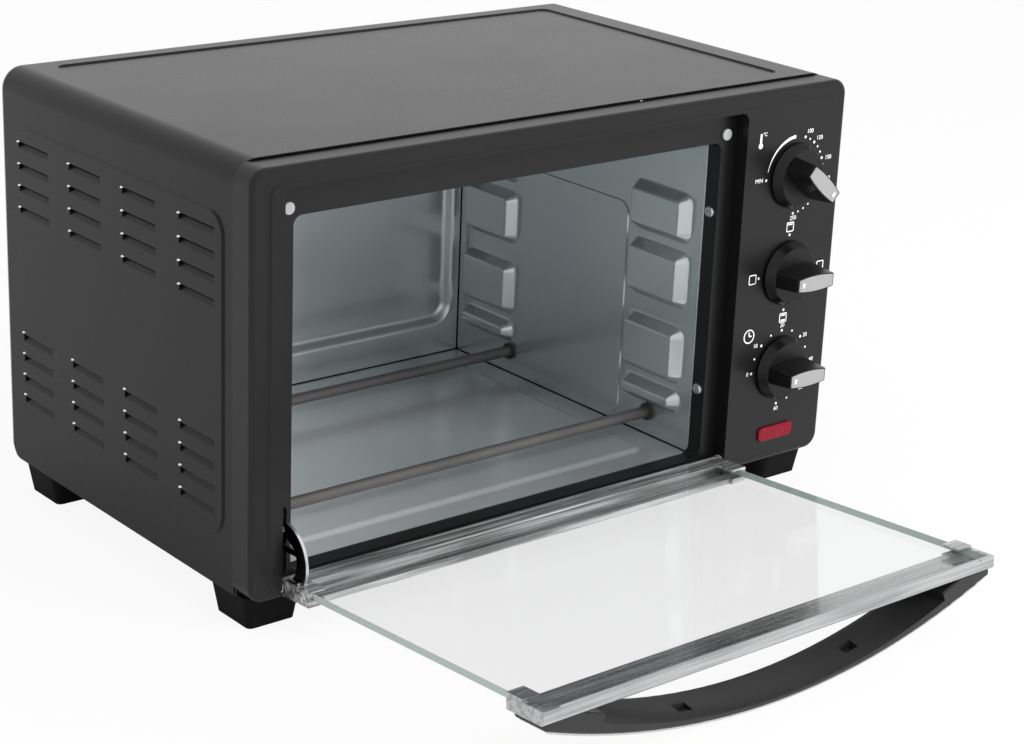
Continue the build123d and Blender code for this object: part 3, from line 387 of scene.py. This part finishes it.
# Cavity liner
# Walls, rear, roof and floor are aluminised sheet, a soft blue-grey metal with a fine
# spangle. Bosses, a recess and a bead are pressed in with rounded edges. Along the bent front
# edge of each side wall, a strip of brighter steel past the flange is a painted highlight.
cavity_middle = -29.5 * mm
cavity_half = 142.0 * mm
rear_face = 210.29 * mm
floor_face = 26.0 * mm
seam_width = 0.7 * mm
seam_black = (0.02, 0.02, 0.021, 1)
# Painted light: between these two places the rear, roof and floor sheet is painted from paler on
# the left to darker on the right, for where the light falls in the cavity.
painted_light_left = -150.0 * mm
painted_light_right = 60.0 * mm


def liner(name, dark, pale, metal, roughness, painted_light_share):
    """Sheet with dark seams in the corners, painted darker toward the right by a share as painted
    shade.
    """
    material, place = new_finish(name)
    across = place.part("X")
    by_wall = abs(across - cavity_middle) > cavity_half - seam_width
    by_rear = across.of("Y") > rear_face - seam_width
    by_floor = across.of("Z") < floor_face + seam_width
    floor_seam = by_floor * by_wall.math("MAXIMUM", by_rear)
    seam = (by_wall * by_rear).math("MAXIMUM", floor_seam)
    grain = place.noise(1500.0, 2.0)
    cloud = place.noise(9.0, 2.0)
    painted_dimming = across.ramp(painted_light_left, painted_light_right)
    shade = 0.2 + 0.2 * grain + 0.6 * cloud + painted_light_share * (0.4 - painted_dimming)
    lay_finish(
        material,
        {
            "Base Color": seam.blend(shade.blend(dark, pale), seam_black),
            "Metallic": metal,
            "Roughness": roughness + 0.03 * (grain - 0.5) + 0.06 * (cloud - 0.5),
        },
    )
    return material


# Painted light: the walls and the rear, roof and floor take two copies of the same aluminised
# sheet's finish, the walls' darker and the others' paler, for the light that falls on them.
wall_sheet_painted_shaded = liner(
    "wall_sheet_painted_shaded",
    dark=(0.47, 0.51, 0.52, 1),
    pale=(0.6, 0.64, 0.65, 1),
    metal=0.76,
    roughness=0.26,
    painted_light_share=0.0,
)
rear_sheet_painted_lit = liner(
    "rear_sheet_painted_lit",
    dark=(0.46, 0.49, 0.5, 1),
    pale=(0.97, 0.99, 1.0, 1),
    metal=0.62,
    roughness=0.24,
    painted_light_share=0.85,
)
finish_nodes(rear_sheet_painted_lit, "cavity_roof")
weld_gap = 0.002 * mm
flat_angle = radians(1.5)
sharp_angle = radians(18)
smooth_angle = radians(24)


def pressed(name, finish, radius, drawn):
    """A sheet whose drawn edges are rounded as the press leaves them, in place of its solid."""
    sheet = nodes[name].copy()
    sheet.data = nodes[name].data.copy()
    sheet.name = name + "_pressed"
    scene.collection.objects.link(sheet)
    bpy.ops.object.select_all(action="DESELECT")
    sheet.select_set(True)
    bpy.context.view_layer.objects.active = sheet
    bpy.ops.mesh.customdata_custom_splitnormals_clear()
    bpy.context.tool_settings.mesh_select_mode = (False, True, False)
    bpy.ops.object.mode_set(mode="EDIT")
    bpy.ops.mesh.select_all(action="SELECT")
    bpy.ops.mesh.remove_doubles(threshold=weld_gap)
    bpy.ops.mesh.dissolve_limited(angle_limit=flat_angle)
    bpy.ops.mesh.select_all(action="DESELECT")
    bpy.ops.mesh.edges_select_sharp(sharpness=sharp_angle)
    bpy.ops.object.mode_set(mode="OBJECT")
    sharp = [edge.index for edge in sheet.data.edges if edge.select]
    bpy.ops.object.mode_set(mode="EDIT")
    bpy.ops.mesh.select_all(action="DESELECT")
    bpy.ops.object.mode_set(mode="OBJECT")
    for index in sharp:
        ends = [sheet.data.vertices[end].co for end in sheet.data.edges[index].vertices]
        sheet.data.edges[index].select = all(drawn(*end) for end in ends)
    bpy.ops.object.mode_set(mode="EDIT")
    bpy.ops.mesh.bevel(offset=radius, segments=3, affect="EDGES", clamp_overlap=False)
    bpy.ops.object.mode_set(mode="OBJECT")
    bpy.ops.object.shade_smooth_by_angle(angle=smooth_angle)
    flatness = sheet.modifiers.new("flatness", "WEIGHTED_NORMAL")
    flatness.keep_sharp = True
    bpy.ops.object.modifier_apply(modifier="flatness")
    sheet.data.materials.clear()
    sheet.data.materials.append(finish)
    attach(sheet, "oven")
    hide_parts(name)


# Each sheet's drawn edges join two levels, within loose limits round the pressed form.
level_slack = 0.06 * mm
boss_height = 7.0 * mm
boss_round = 1.2 * mm
boss_foot = 46.0 * mm
boss_columns = ((2.0 * mm, 51.0 * mm), (154.0 * mm, 203.0 * mm))
recess_depth = 5.0 * mm
recess_round = 1.8 * mm
recess_half = 140.0 * mm
recess_span = (30.0 * mm, 209.0 * mm)
bead_height = 1.8 * mm
bead_round = 1.0 * mm
bead_half = 130.0 * mm
bead_span = (5.0 * mm, 200.0 * mm)


def near(value, *levels):
    return any(abs(value - level) < level_slack for level in levels)


def on_boss(x, y, z):
    depth = cavity_half - abs(x - cavity_middle)
    in_column = any(front < y < back for front, back in boss_columns)
    return near(depth, 0.0, boss_height) and z > boss_foot and in_column


def on_recess(x, y, z):
    inside = abs(x - cavity_middle) < recess_half and recess_span[0] < z < recess_span[1]
    return near(y, rear_face, rear_face + recess_depth) and inside


def on_bead(x, y, z):
    inside = abs(x - cavity_middle) < bead_half and bead_span[0] < y < bead_span[1]
    return near(z, floor_face, floor_face + bead_height) and inside


pressed("cavity_left_wall", wall_sheet_painted_shaded, boss_round, on_boss)
pressed("cavity_right_wall", wall_sheet_painted_shaded, boss_round, on_boss)
pressed("cavity_rear_wall", rear_sheet_painted_lit, recess_round, on_recess)
pressed("cavity_floor", rear_sheet_painted_lit, bead_round, on_bead)
wall_low, wall_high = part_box("cavity_right_wall")
flange_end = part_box("front_frame")[1][1]
edge_depth = 1.0 * mm
edge_step = 0.75 * mm
edge_gap = 3.0 * mm
edge_inset = 0.6 * mm
edge_clear = 0.05 * mm
edge_round = 0.2 * mm
edge_height = wall_high[2] - wall_low[2] - 2 * edge_gap
# Painted highlight: the strip stands for the wall's bent front edge, painted brighter than the
# sheet for the light that the edge catches.
edge_highlight_steel, place = new_finish("edge_highlight_steel")
highlight_grain = place.noise(700.0, 3.0)
lay_finish(
    edge_highlight_steel,
    {
        "Base Color": highlight_grain.blend((0.78, 0.8, 0.81, 1), (0.9, 0.91, 0.92, 1)),
        "Metallic": 1.0,
        "Roughness": 0.22 + 0.16 * highlight_grain,
    },
)
for side, wall_name in ((-1, "cavity_left_wall"), (1, "cavity_right_wall")):
    wall_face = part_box(wall_name)[0 if side < 0 else 1][0] - side * edge_inset
    bpy.ops.object.select_all(action="DESELECT")
    bpy.ops.mesh.primitive_cube_add(
        size=1.0,
        location=(
            wall_face - side * edge_step / 2,
            flange_end + edge_depth / 2 + edge_clear,
            (wall_low[2] + wall_high[2]) / 2,
        ),
    )
    wall_edge = bpy.context.object
    wall_edge.name = wall_name + "_edge"
    bpy.ops.object.mode_set(mode="EDIT")
    bpy.ops.transform.resize(value=(edge_step, edge_depth, edge_height))
    bpy.ops.mesh.bevel(offset=edge_round, segments=2, affect="EDGES")
    bpy.ops.object.mode_set(mode="OBJECT")
    bpy.ops.object.transform_apply(location=True, rotation=True, scale=True)
    wall_edge.data.materials.append(edge_highlight_steel)
    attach(wall_edge, "oven")

# Heating elements
# Steel tubes with a heating wire in packed powder, browned by heat, run across the cavity.
# Dark fired collars hold their ends in the side walls.
heater_tube, place = new_finish("heater_tube")
draw_line = place.along(0.12).noise(600.0, 3.0)
tint = place.noise(22.0, 2.0)
lay_finish(
    heater_tube,
    {
        "Base Color": tint.blend((0.1, 0.094, 0.092, 1), (0.18, 0.172, 0.168, 1)),
        "Metallic": 0.5,
        "Roughness": 0.52 + 0.2 * (draw_line - 0.5),
        "Normal": draw_line.relief(0.1, 0.1 * mm),
    },
)
finish_nodes(
    heater_tube,
    "lower_front_element",
    "lower_rear_element",
    "upper_front_element",
    "upper_rear_element",
)
fired_collar = moulded(
    "fired_collar",
    dark=(0.03, 0.027, 0.025, 1),
    pale=(0.07, 0.063, 0.058, 1),
    roughness=0.55,
    skin=900.0,
)
finish_nodes(fired_collar, "element_bushes")


# Screws
# Zinc-plated pan-head screws with a cross recess hold the liner to the frame's flange and
# the rear cover to the wrap. Those inside the feet, the panel and the handle are out of sight.
def pick_faces(piece, test):
    """Select, in edit mode, the faces whose normal passes the test."""
    bpy.context.tool_settings.mesh_select_mode = (False, False, True)
    bpy.ops.object.mode_set(mode="EDIT")
    bpy.ops.mesh.select_all(action="DESELECT")
    bpy.ops.object.mode_set(mode="OBJECT")
    for face in piece.data.polygons:
        face.select = test(face.normal)
    bpy.ops.object.mode_set(mode="EDIT")


screw_head_radius = 3.2 * mm
screw_head_height = 1.8 * mm
screw_head_round = 1.1 * mm
screw_shank_radius = 1.45 * mm
screw_shank_length = 5.0 * mm
cross_size = (3.4 * mm, 0.75 * mm, 2.2 * mm)
bpy.ops.object.select_all(action="DESELECT")
bpy.ops.mesh.primitive_cylinder_add(
    vertices=32,
    radius=screw_head_radius,
    depth=screw_head_height,
    location=(0, 0, screw_head_height / 2),
)
screw_model = bpy.context.object
bpy.ops.object.transform_apply(location=True, rotation=True, scale=True)
pick_faces(screw_model, lambda normal: normal.z > 0.9)
bpy.ops.mesh.bevel(offset=screw_head_round, segments=4, affect="EDGES")
pick_faces(screw_model, lambda normal: normal.z < -0.9)
bpy.ops.mesh.inset(thickness=screw_head_radius - screw_shank_radius)
bpy.ops.mesh.extrude_region_move(TRANSFORM_OT_translate={"value": (0, 0, -screw_shank_length)})
bpy.ops.object.mode_set(mode="OBJECT")
bpy.ops.object.select_all(action="DESELECT")
bpy.ops.mesh.primitive_cube_add(size=1.0, location=(0, 0, screw_head_height))
cross_cutter = bpy.context.object
bpy.ops.object.mode_set(mode="EDIT")
bpy.ops.transform.resize(value=cross_size)
bpy.ops.mesh.duplicate()
bpy.ops.transform.rotate(value=pi / 2, orient_axis="Z", center_override=(0, 0, 0))
bpy.ops.object.mode_set(mode="OBJECT")
bpy.ops.object.transform_apply(location=True, rotation=True, scale=True)
recess = screw_model.modifiers.new("recess", "BOOLEAN")
recess.operation = "DIFFERENCE"
recess.object = cross_cutter
recess.use_self = True
bpy.context.view_layer.objects.active = screw_model
bpy.ops.object.modifier_apply(modifier="recess")
bpy.data.objects.remove(cross_cutter)


def plated(name, dark, pale, roughness):
    """Plated or polished metal, worn a little."""
    material, place = new_finish(name)
    wear = place.noise(350.0, 3.0)
    lay_finish(
        material,
        {
            "Base Color": wear.blend(dark, pale),
            "Metallic": 1.0,
            "Roughness": roughness + 0.14 * (wear - 0.5),
        },
    )
    return material


screw_zinc = plated(
    "screw_zinc",
    dark=(0.5, 0.5, 0.51, 1),
    pale=(0.72, 0.72, 0.73, 1),
    roughness=0.3,
)
finish_nodes(screw_zinc, "foot_screws", "control_screws", "handle_screws")
screw_model.data.materials.append(screw_zinc)
flange_seats_x = {-1: -170.7 * mm, 1: 111.7 * mm}
flange_seats_z = (67.15 * mm, 171.85 * mm)
flange_seat_y = -12.71 * mm
rear_seat_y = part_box("rear_screws")[1][1] - screw_head_height
rear_seats = (
    (194.0 * mm, 51.48 * mm),
    (194.0 * mm, 129.6 * mm),
    (194.0 * mm, 207.72 * mm),
    (99.5 * mm, 23.0 * mm),
    (99.5 * mm, 236.2 * mm),
)
screw_first_turn = 0.35
screw_next_turn = 0.7
screw_spots = {"flange_screws": [], "rear_screws": []}
for side, seat_x in flange_seats_x.items():
    for seat_z in flange_seats_z:
        spot = Matrix.Translation((seat_x, flange_seat_y, seat_z))
        screw_spots["flange_screws"].append(spot @ Matrix.Rotation(-side * pi / 2, 4, "Y"))
for side in (-1, 1):
    for seat_x, seat_z in rear_seats:
        spot = Matrix.Translation((side * seat_x, rear_seat_y, seat_z))
        screw_spots["rear_screws"].append(spot @ Matrix.Rotation(-pi / 2, 4, "X"))
for screw_node, spots in screw_spots.items():
    for count, spot in enumerate(spots):
        screw_turn = screw_first_turn + screw_next_turn * count
        screw = screw_model.copy()
        screw.data = screw_model.data.copy()
        screw.data.transform(spot @ Matrix.Rotation(screw_turn, 4, "Z"))
        screw.name = f"{screw_node}_{count + 1}"
        scene.collection.objects.link(screw)
        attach(screw, "oven")
        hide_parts(screw_node)
bpy.data.objects.remove(screw_model)

# Dial panel printing
# The scales are screen-printed in white ink straight on the coat: a heat scale, four small
# pictures of the heat's place, and sixty minutes, each round its knob.
panel_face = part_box("front_frame")[0][1]
ink_thickness = 0.05 * mm
ink_front = panel_face - 0.06 * mm
ink_swell = 0.05 * mm
upright = (pi / 2, 0, 0)
dial_x = 161.5 * mm
dial_rise = {"thermostat": 189.0 * mm, "selector": 132.0 * mm, "timer": 75.0 * mm}
dot_circle = 22.3 * mm
dot_large = 1.6 * mm
dot_small = 1.2 * mm
dot_corner = 0.49
number_size = 3.4 * mm
white_ink, place = new_finish("white_ink")
mesh_mark = place.noise(1800.0, 2.0)
lay_finish(
    white_ink,
    {
        "Base Color": mesh_mark.blend((0.86, 0.86, 0.86, 1), (0.94, 0.94, 0.94, 1)),
        "Roughness": 0.45 + 0.1 * mesh_mark,
    },
)


def ink_words(words, x, z, size=number_size):
    """A word or number in ink, its middle at x and z."""
    bpy.ops.object.select_all(action="DESELECT")
    bpy.ops.object.text_add(location=(x, ink_front, z), rotation=upright)
    piece = bpy.context.object
    piece.data.body = words
    piece.data.size = size
    piece.data.align_x = "CENTER"
    piece.data.align_y = "CENTER"
    piece.data.offset = ink_swell
    bpy.ops.object.convert(target="MESH")
    return bpy.context.object


def ink_plate(x, z, width, height, corner, line=0.0):
    """A rounded bar in ink, or only its outline where a line is given."""
    bpy.ops.object.select_all(action="DESELECT")
    bpy.ops.mesh.primitive_plane_add(size=1.0, location=(x, ink_front, z), rotation=upright)
    bpy.context.tool_settings.mesh_select_mode = (False, False, True)
    bpy.ops.object.mode_set(mode="EDIT")
    bpy.ops.mesh.select_all(action="SELECT")
    bpy.ops.transform.resize(value=(width, 1, height))
    bpy.ops.mesh.bevel(offset=corner, segments=6, affect="VERTICES")
    if line:
        bpy.ops.mesh.select_all(action="SELECT")
        bpy.ops.mesh.inset(thickness=line)
        bpy.ops.mesh.delete(type="FACE")
    bpy.ops.object.mode_set(mode="OBJECT")
    return bpy.context.object


def ink_dot(center_z, turn, size):
    """A round dot on a dial's circle, at an angle from three o'clock."""
    x = dial_x + dot_circle * cos(radians(turn))
    z = center_z + dot_circle * sin(radians(turn))
    return ink_plate(x, z, size, size, dot_corner * size)


def ink_scale(name, marks):
    """Join a dial's marks into one print with the ink's thickness."""
    scale = joined(marks, name)
    bpy.ops.object.transform_apply(location=True, rotation=True, scale=True)
    film = scale.modifiers.new("film", "SOLIDIFY")
    film.thickness = ink_thickness
    film.offset = -1.0
    bpy.ops.object.modifier_apply(modifier="film")
    scale.data.materials.clear()
    scale.data.materials.append(white_ink)
    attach(scale, "oven")


# The labels' places are in millimetres from their dial's middle.
heat_z = dial_rise["thermostat"]
heat_low = 100
heat_dots = 16
heat_first_turn = 73.0
heat_next_turn = -160.0 / 15
heat_step = 10
heat_labels = {
    100: (10.0, 24.3),
    120: (17.9, 19.6),
    150: (26.2, 7.2),
    180: (26.6, -5.2),
    200: (23.2, -14.2),
    250: (1.6, -25.0),
}
low_label_x = dial_x - 27.8 * mm
low_label_z = heat_z + 0.3 * mm
heat_marks = [ink_words("MIN", low_label_x, low_label_z)]
heat_marks.append(ink_dot(heat_z, 180.0, dot_large))
for count in range(heat_dots):
    heat = heat_low + heat_step * count
    heat_turn = heat_first_turn + count * heat_next_turn
    heat_marks.append(ink_dot(heat_z, heat_turn, dot_large if heat in heat_labels else dot_small))
    if heat in heat_labels:
        label_x, label_z = heat_labels[heat]
        heat_marks.append(ink_words(str(heat), dial_x + label_x * mm, heat_z + label_z * mm))
stem_x = dial_x - 28.6 * mm
stem_z = heat_z + 24.2 * mm
stem_width = 1.5 * mm
stem_height = 6.4 * mm
stem_corner = 0.7 * mm
bulb_z = stem_z - 3.8 * mm
bulb_size = 3.2 * mm
bulb_corner = 1.57 * mm
unit_x = stem_x + 3.0 * mm
unit_z = stem_z + 2.4 * mm
unit_size = 2.9 * mm
heat_marks.append(ink_plate(stem_x, stem_z, stem_width, stem_height, stem_corner))
heat_marks.append(ink_plate(stem_x, bulb_z, bulb_size, bulb_size, bulb_corner))
heat_marks.append(ink_words("°C", unit_x, unit_z, unit_size))
# The sweep widens as it goes, because its two edges turn round different middles.
sweep_turn = radians(75.0)
sweep_steps = 24
sweep_seed = 0.1 * mm
sweep_edges = (((-21.13, 4.49), (0.0, 0.0)), ((-21.47, 4.56), (0.97, 0.83)))
sweep_lines = []
for (start_x, start_z), (middle_x, middle_z) in sweep_edges:
    bpy.ops.object.select_all(action="DESELECT")
    bpy.ops.mesh.primitive_plane_add(
        size=sweep_seed,
        location=(dial_x + start_x * mm, ink_front, heat_z + start_z * mm),
        rotation=upright,
    )
    bpy.ops.object.transform_apply(location=True, rotation=True, scale=True)
    bpy.context.tool_settings.mesh_select_mode = (True, False, False)
    bpy.ops.object.mode_set(mode="EDIT")
    bpy.ops.mesh.select_all(action="SELECT")
    bpy.ops.mesh.merge(type="CENTER")
    bpy.ops.mesh.spin(
        steps=sweep_steps,
        angle=sweep_turn,
        center=(dial_x + middle_x * mm, ink_front, heat_z + middle_z * mm),
        axis=(0, -1, 0),
    )
    bpy.ops.object.mode_set(mode="OBJECT")
    sweep_lines.append(bpy.context.object)
heat_sweep = joined(sweep_lines[::-1], "heat_sweep")
bpy.context.tool_settings.mesh_select_mode = (False, True, False)
bpy.ops.object.mode_set(mode="EDIT")
bpy.ops.mesh.select_all(action="SELECT")
bpy.ops.mesh.bridge_edge_loops()
bpy.ops.mesh.select_all(action="SELECT")
bpy.ops.mesh.normals_make_consistent(inside=False)
bpy.ops.object.mode_set(mode="OBJECT")
if heat_sweep.data.polygons[0].normal.y > 0:
    bpy.ops.object.mode_set(mode="EDIT")
    bpy.ops.mesh.flip_normals()
    bpy.ops.object.mode_set(mode="OBJECT")
heat_marks.append(heat_sweep)
ink_scale("thermostat_scale", heat_marks)

place_z = dial_rise["selector"]
picture = 5.8 * mm
picture_corner = 0.9 * mm
picture_line = 0.6 * mm
picture_reach = 27.0 * mm
bar_rise = {"top": 1.5 * mm, "foot": -1.5 * mm}
bar_length = 3.4 * mm
bar_width = 0.9 * mm
bar_corner = 0.3 * mm
place_marks = []
for turn, bars in ((90, ("top",)), (0, ("foot",)), (270, ("top", "foot")), (180, ())):
    picture_x = dial_x + picture_reach * cos(radians(turn))
    picture_z = place_z + picture_reach * sin(radians(turn))
    place_marks.append(
        ink_plate(picture_x, picture_z, picture, picture, picture_corner, picture_line)
    )
    place_marks.append(ink_dot(place_z, turn, dot_large))
    for bar in bars:
        bar_z = picture_z + bar_rise[bar]
        place_marks.append(ink_plate(picture_x, bar_z, bar_length, bar_width, bar_corner))
ink_scale("selector_scale", place_marks)

time_z = dial_rise["timer"]
minute_turn = 4.5
minute_step = 5
last_minute = 60
time_labels = {
    0: (-25.4, 0.0),
    10: (-20.6, 16.4),
    20: (0.0, 25.3),
    30: (19.4, 16.2),
    40: (26.2, 0.0),
    50: (19.6, -16.4),
    60: (0.0, -25.4),
}
time_marks = []
for minute in range(0, last_minute + 1, minute_step):
    dot_size = dot_large if minute in time_labels else dot_small
    time_marks.append(ink_dot(time_z, 180.0 - minute_turn * minute, dot_size))
for minute, (label_x, label_z) in time_labels.items():
    time_marks.append(ink_words(str(minute), dial_x + label_x * mm, time_z + label_z * mm))
clock_x = dial_x - 26.4 * mm
clock_z = time_z + 23.2 * mm
clock_size = 8.4 * mm
clock_corner = 4.15 * mm
clock_line = 0.7 * mm
long_hand = 3.0 * mm
long_hand_z = clock_z + 1.1 * mm
short_hand = 2.5 * mm
short_hand_x = clock_x + 0.9 * mm
hand_width = 0.8 * mm
hand_corner = 0.3 * mm
time_marks.append(ink_plate(clock_x, clock_z, clock_size, clock_size, clock_corner, clock_line))
time_marks.append(ink_plate(clock_x, long_hand_z, hand_width, long_hand, hand_corner))
time_marks.append(ink_plate(short_hand_x, clock_z, short_hand, hand_width, hand_corner))
ink_scale("timer_scale", time_marks)

# Controls
# The heat, place and time controls sit behind the panel with turned steel shafts. Each
# carries a black moulded knob whose grip holds a brushed aluminium insert with a white tip.
control_case = moulded(
    "control_case",
    dark=(0.24, 0.22, 0.18, 1),
    pale=(0.3, 0.28, 0.23, 1),
    roughness=0.5,
    skin=800.0,
)
shaft_steel = plated(
    "shaft_steel",
    dark=(0.5, 0.5, 0.5, 1),
    pale=(0.66, 0.66, 0.66, 1),
    roughness=0.28,
)
knob_black = moulded(
    "knob_black",
    dark=(0.005, 0.005, 0.0053, 1),
    pale=(0.009, 0.009, 0.0094, 1),
    roughness=0.3,
    skin=900.0,
    gloss=1.33,
)
dial_turn = {"thermostat": -41.0, "selector": 180.0, "timer": 180.0}
pointer_reach = 10.2 * mm
pointer_length = 1.9 * mm
pointer_width = 2.7 * mm
pointer_rise = 0.3 * mm
pointer_round = 0.2 * mm
pointer_white, place = new_finish("pointer_white")
brush_mark = place.noise(1500.0, 2.0)
lay_finish(
    pointer_white,
    {
        "Base Color": brush_mark.blend((0.74, 0.74, 0.74, 1), (0.84, 0.84, 0.84, 1)),
        "Roughness": 0.3 + 0.1 * brush_mark,
    },
)
for dial, turn in dial_turn.items():
    finish_nodes(control_case, dial + "_body")
    finish_nodes(shaft_steel, dial + "_shaft")
    finish_nodes(knob_black, dial + "_knob")
    insert_metal, place = new_finish(dial + "_insert_metal")
    grip = place.node(
        "Mapping",
        {"vector_type": "TEXTURE"},
        {
            "Vector": place,
            "Location": (dial_x, 0, dial_rise[dial]),
            "Rotation": (0, -radians(turn), 0),
        },
    )
    hair = grip.along(0.04).noise(4200.0, 2.0)
    lay_finish(
        insert_metal,
        {
            "Base Color": hair.blend((0.46, 0.46, 0.465, 1), (0.64, 0.64, 0.645, 1)),
            "Metallic": 1.0,
            "Roughness": 0.3 + 0.16 * hair,
            "Normal": hair.relief(0.1, 0.1 * mm),
        },
    )
    finish_nodes(insert_metal, dial + "_insert")
    bpy.ops.object.select_all(action="DESELECT")
    bpy.ops.mesh.primitive_cube_add(size=1.0)
    pointer = bpy.context.object
    pointer.name = dial + "_pointer"
    bpy.ops.object.mode_set(mode="EDIT")
    bpy.ops.transform.resize(value=(pointer_length, 2 * pointer_rise, pointer_width))
    bpy.ops.mesh.bevel(offset=pointer_round, segments=2, affect="EDGES")
    bpy.ops.object.mode_set(mode="OBJECT")
    spot = Matrix.Translation((dial_x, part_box(dial + "_insert")[0][1], dial_rise[dial]))
    spot = spot @ Matrix.Rotation(-radians(turn), 4, "Y")
    pointer.matrix_world = spot @ Matrix.Translation((pointer_reach, 0, 0))
    bpy.ops.object.transform_apply(location=True, rotation=True, scale=True)
    pointer.data.materials.append(pointer_white)
    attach(pointer, dial + "_dial")

# Pilot lamp
# A clear red moulding with rounded edges is clipped through the panel under the dials,
# and its pale holder sits behind.
lamp_red, place = new_finish("lamp_red")
# The colour lightens and darkens along the ribs as painted light, for the light seen through the
# ribbed moulding, and the clouding varies it at random.
rib = place.node("TexWave", {"bands_direction": "X"}, {"Vector": place, "Scale": 130.0}, "Fac")
cloud = place.noise(120.0, 2.0)
depth = 0.5 * cloud + 0.5 * rib
lay_finish(
    lamp_red,
    {
        "Base Color": depth.blend((0.09, 0.001, 0.005, 1), (0.3, 0.004, 0.02, 1)),
        "Roughness": 0.12 + 0.06 * cloud,
        "IOR": 1.3,
        "Normal": rib.relief(0.12, 0.2 * mm),
    },
)
lamp_case = moulded(
    "lamp_case",
    dark=(0.55, 0.55, 0.53, 1),
    pale=(0.62, 0.62, 0.6, 1),
    roughness=0.45,
    skin=700.0,
)
finish_nodes(lamp_red, "lamp_lens")
finish_nodes(lamp_case, "lamp_holder")

# Hinges and door stops
# Steel pins turn in nylon bushes at the foot of the recess. A stamped arm on the door runs
# into a slot, where a coil spring pulls on it, and two soft grey studs stop the closed door.
bush_nylon = moulded(
    "bush_nylon",
    dark=(0.46, 0.45, 0.41, 1),
    pale=(0.52, 0.51, 0.47, 1),
    roughness=0.45,
    skin=700.0,
)
bumper_grey = moulded(
    "bumper_grey",
    dark=(0.3, 0.31, 0.31, 1),
    pale=(0.4, 0.41, 0.41, 1),
    roughness=0.6,
    skin=1500.0,
)
spring_steel = plated(
    "spring_steel",
    dark=(0.34, 0.34, 0.35, 1),
    pale=(0.5, 0.5, 0.51, 1),
    roughness=0.34,
)
pin_steel = plated(
    "pin_steel",
    dark=(0.55, 0.55, 0.56, 1),
    pale=(0.75, 0.75, 0.76, 1),
    roughness=0.24,
)
arm_steel, place = new_finish("arm_steel")
plate = abs(place.of("Normal").part("X")) > 0.7
wear = place.noise(260.0, 3.0)
arm_edge = wear.blend((0.6, 0.6, 0.61, 1), (0.85, 0.85, 0.86, 1))
arm_plate = wear.blend((0.02, 0.02, 0.021, 1), (0.05, 0.05, 0.052, 1))
lay_finish(
    arm_steel,
    {
        "Base Color": plate.blend(arm_edge, arm_plate),
        "Metallic": 1.0,
        "Roughness": 0.22 + 0.14 * wear,
    },
)
finish_nodes(bush_nylon, "hinge_bush_left", "hinge_bush_right")
finish_nodes(pin_steel, "hinge_pin_left", "hinge_pin_right")
finish_nodes(arm_steel, "hinge_arm")
finish_nodes(spring_steel, "door_spring")
finish_nodes(bumper_grey, "door_bumpers")

# Door glass
# A plain toughened pane, clear on its faces and bright at a low angle. Along its two ground
# sides, where it is seen through its depth, it is green.
door_glass, place = new_finish("door_glass")
broad = abs(place.of("Normal").part("X")) < 0.5
grind = place.noise(900.0, 2.0)
smear = place.noise(7.0, 3.0)
sheen = place.node("LayerWeight", {}, {"Blend": 0.5}, "Facing") ** 5.0
ground_edge = place.node(
    "BsdfPrincipled",
    {},
    {
        "Base Color": grind.blend((0.4, 0.5, 0.46, 1), (0.54, 0.63, 0.59, 1)),
        "Roughness": 0.26 + 0.12 * grind,
    },
)
pane = place.node(
    "BsdfPrincipled",
    {},
    {
        "Base Color": smear.blend((0.5, 0.54, 0.53, 1), (0.6, 0.64, 0.63, 1)),
        "Metallic": 1.0,
        "Roughness": 0.03 + 0.03 * smear,
        "Alpha": 0.02 + 0.03 * smear + 0.6 * sheen,
    },
)
glass_look = place.node("MixShader", {}, {0: broad, 1: ground_edge, 2: pane})
place.node("OutputMaterial", {}, {"Surface": glass_look})
finish_nodes(door_glass, "door_glass")


# Door rails and end caps
# Bright chromed sheet, rolled along the foot and the head of the pane and closed at the
# corners by pressed caps. Its light and dark stripes are partly roll marks and partly painted
# reflection.
def rolled(name, dark, pale, metal, roughness):
    """Bright sheet with lines along it, partly the marks that rollers leave and partly painted
    streaks of reflection.
    """
    material, place = new_finish(name)
    roll_marks_and_painted_streaks = place.along(0.03).noise(420.0, 2.0).ramp(0.38, 0.62)
    haze = place.noise(30.0, 3.0)
    lay_finish(
        material,
        {
            "Base Color": (0.3 * haze + 0.7 * roll_marks_and_painted_streaks).blend(dark, pale),
            "Metallic": metal,
            "Roughness": roughness + 0.12 * (roll_marks_and_painted_streaks - 0.5) + 0.06 * (haze - 0.5),
            "Normal": roll_marks_and_painted_streaks.relief(0.05, 0.1 * mm),
        },
    )
    return material


rail_chrome = rolled(
    "rail_chrome",
    dark=(0.12, 0.121, 0.122, 1),
    pale=(0.86, 0.865, 0.87, 1),
    metal=0.7,
    roughness=0.16,
)
rail_satin = rolled(
    "rail_satin",
    dark=(0.3, 0.305, 0.31, 1),
    pale=(0.58, 0.585, 0.59, 1),
    metal=0.8,
    roughness=0.26,
)
finish_nodes(rail_chrome, "door_lower_rail", "hinge_cap_left", "hinge_cap_right")
finish_nodes(rail_satin, "door_upper_rail", "rail_cap_left", "rail_cap_right")

# Handle
# One bowed black moulding with a fine grain and a gutter for the fingers is screwed under
# the upper rail. A bright strip is pressed on its outer edge.
handle_black = moulded(
    "handle_black",
    dark=(0.013, 0.013, 0.014, 1),
    pale=(0.021, 0.021, 0.022, 1),
    roughness=0.42,
    skin=1400.0,
)
trim_chrome = plated(
    "trim_chrome",
    dark=(0.56, 0.56, 0.57, 1),
    pale=(0.7, 0.7, 0.71, 1),
    roughness=0.18,
)
finish_nodes(handle_black, "handle")
finish_nodes(trim_chrome, "handle_trim")
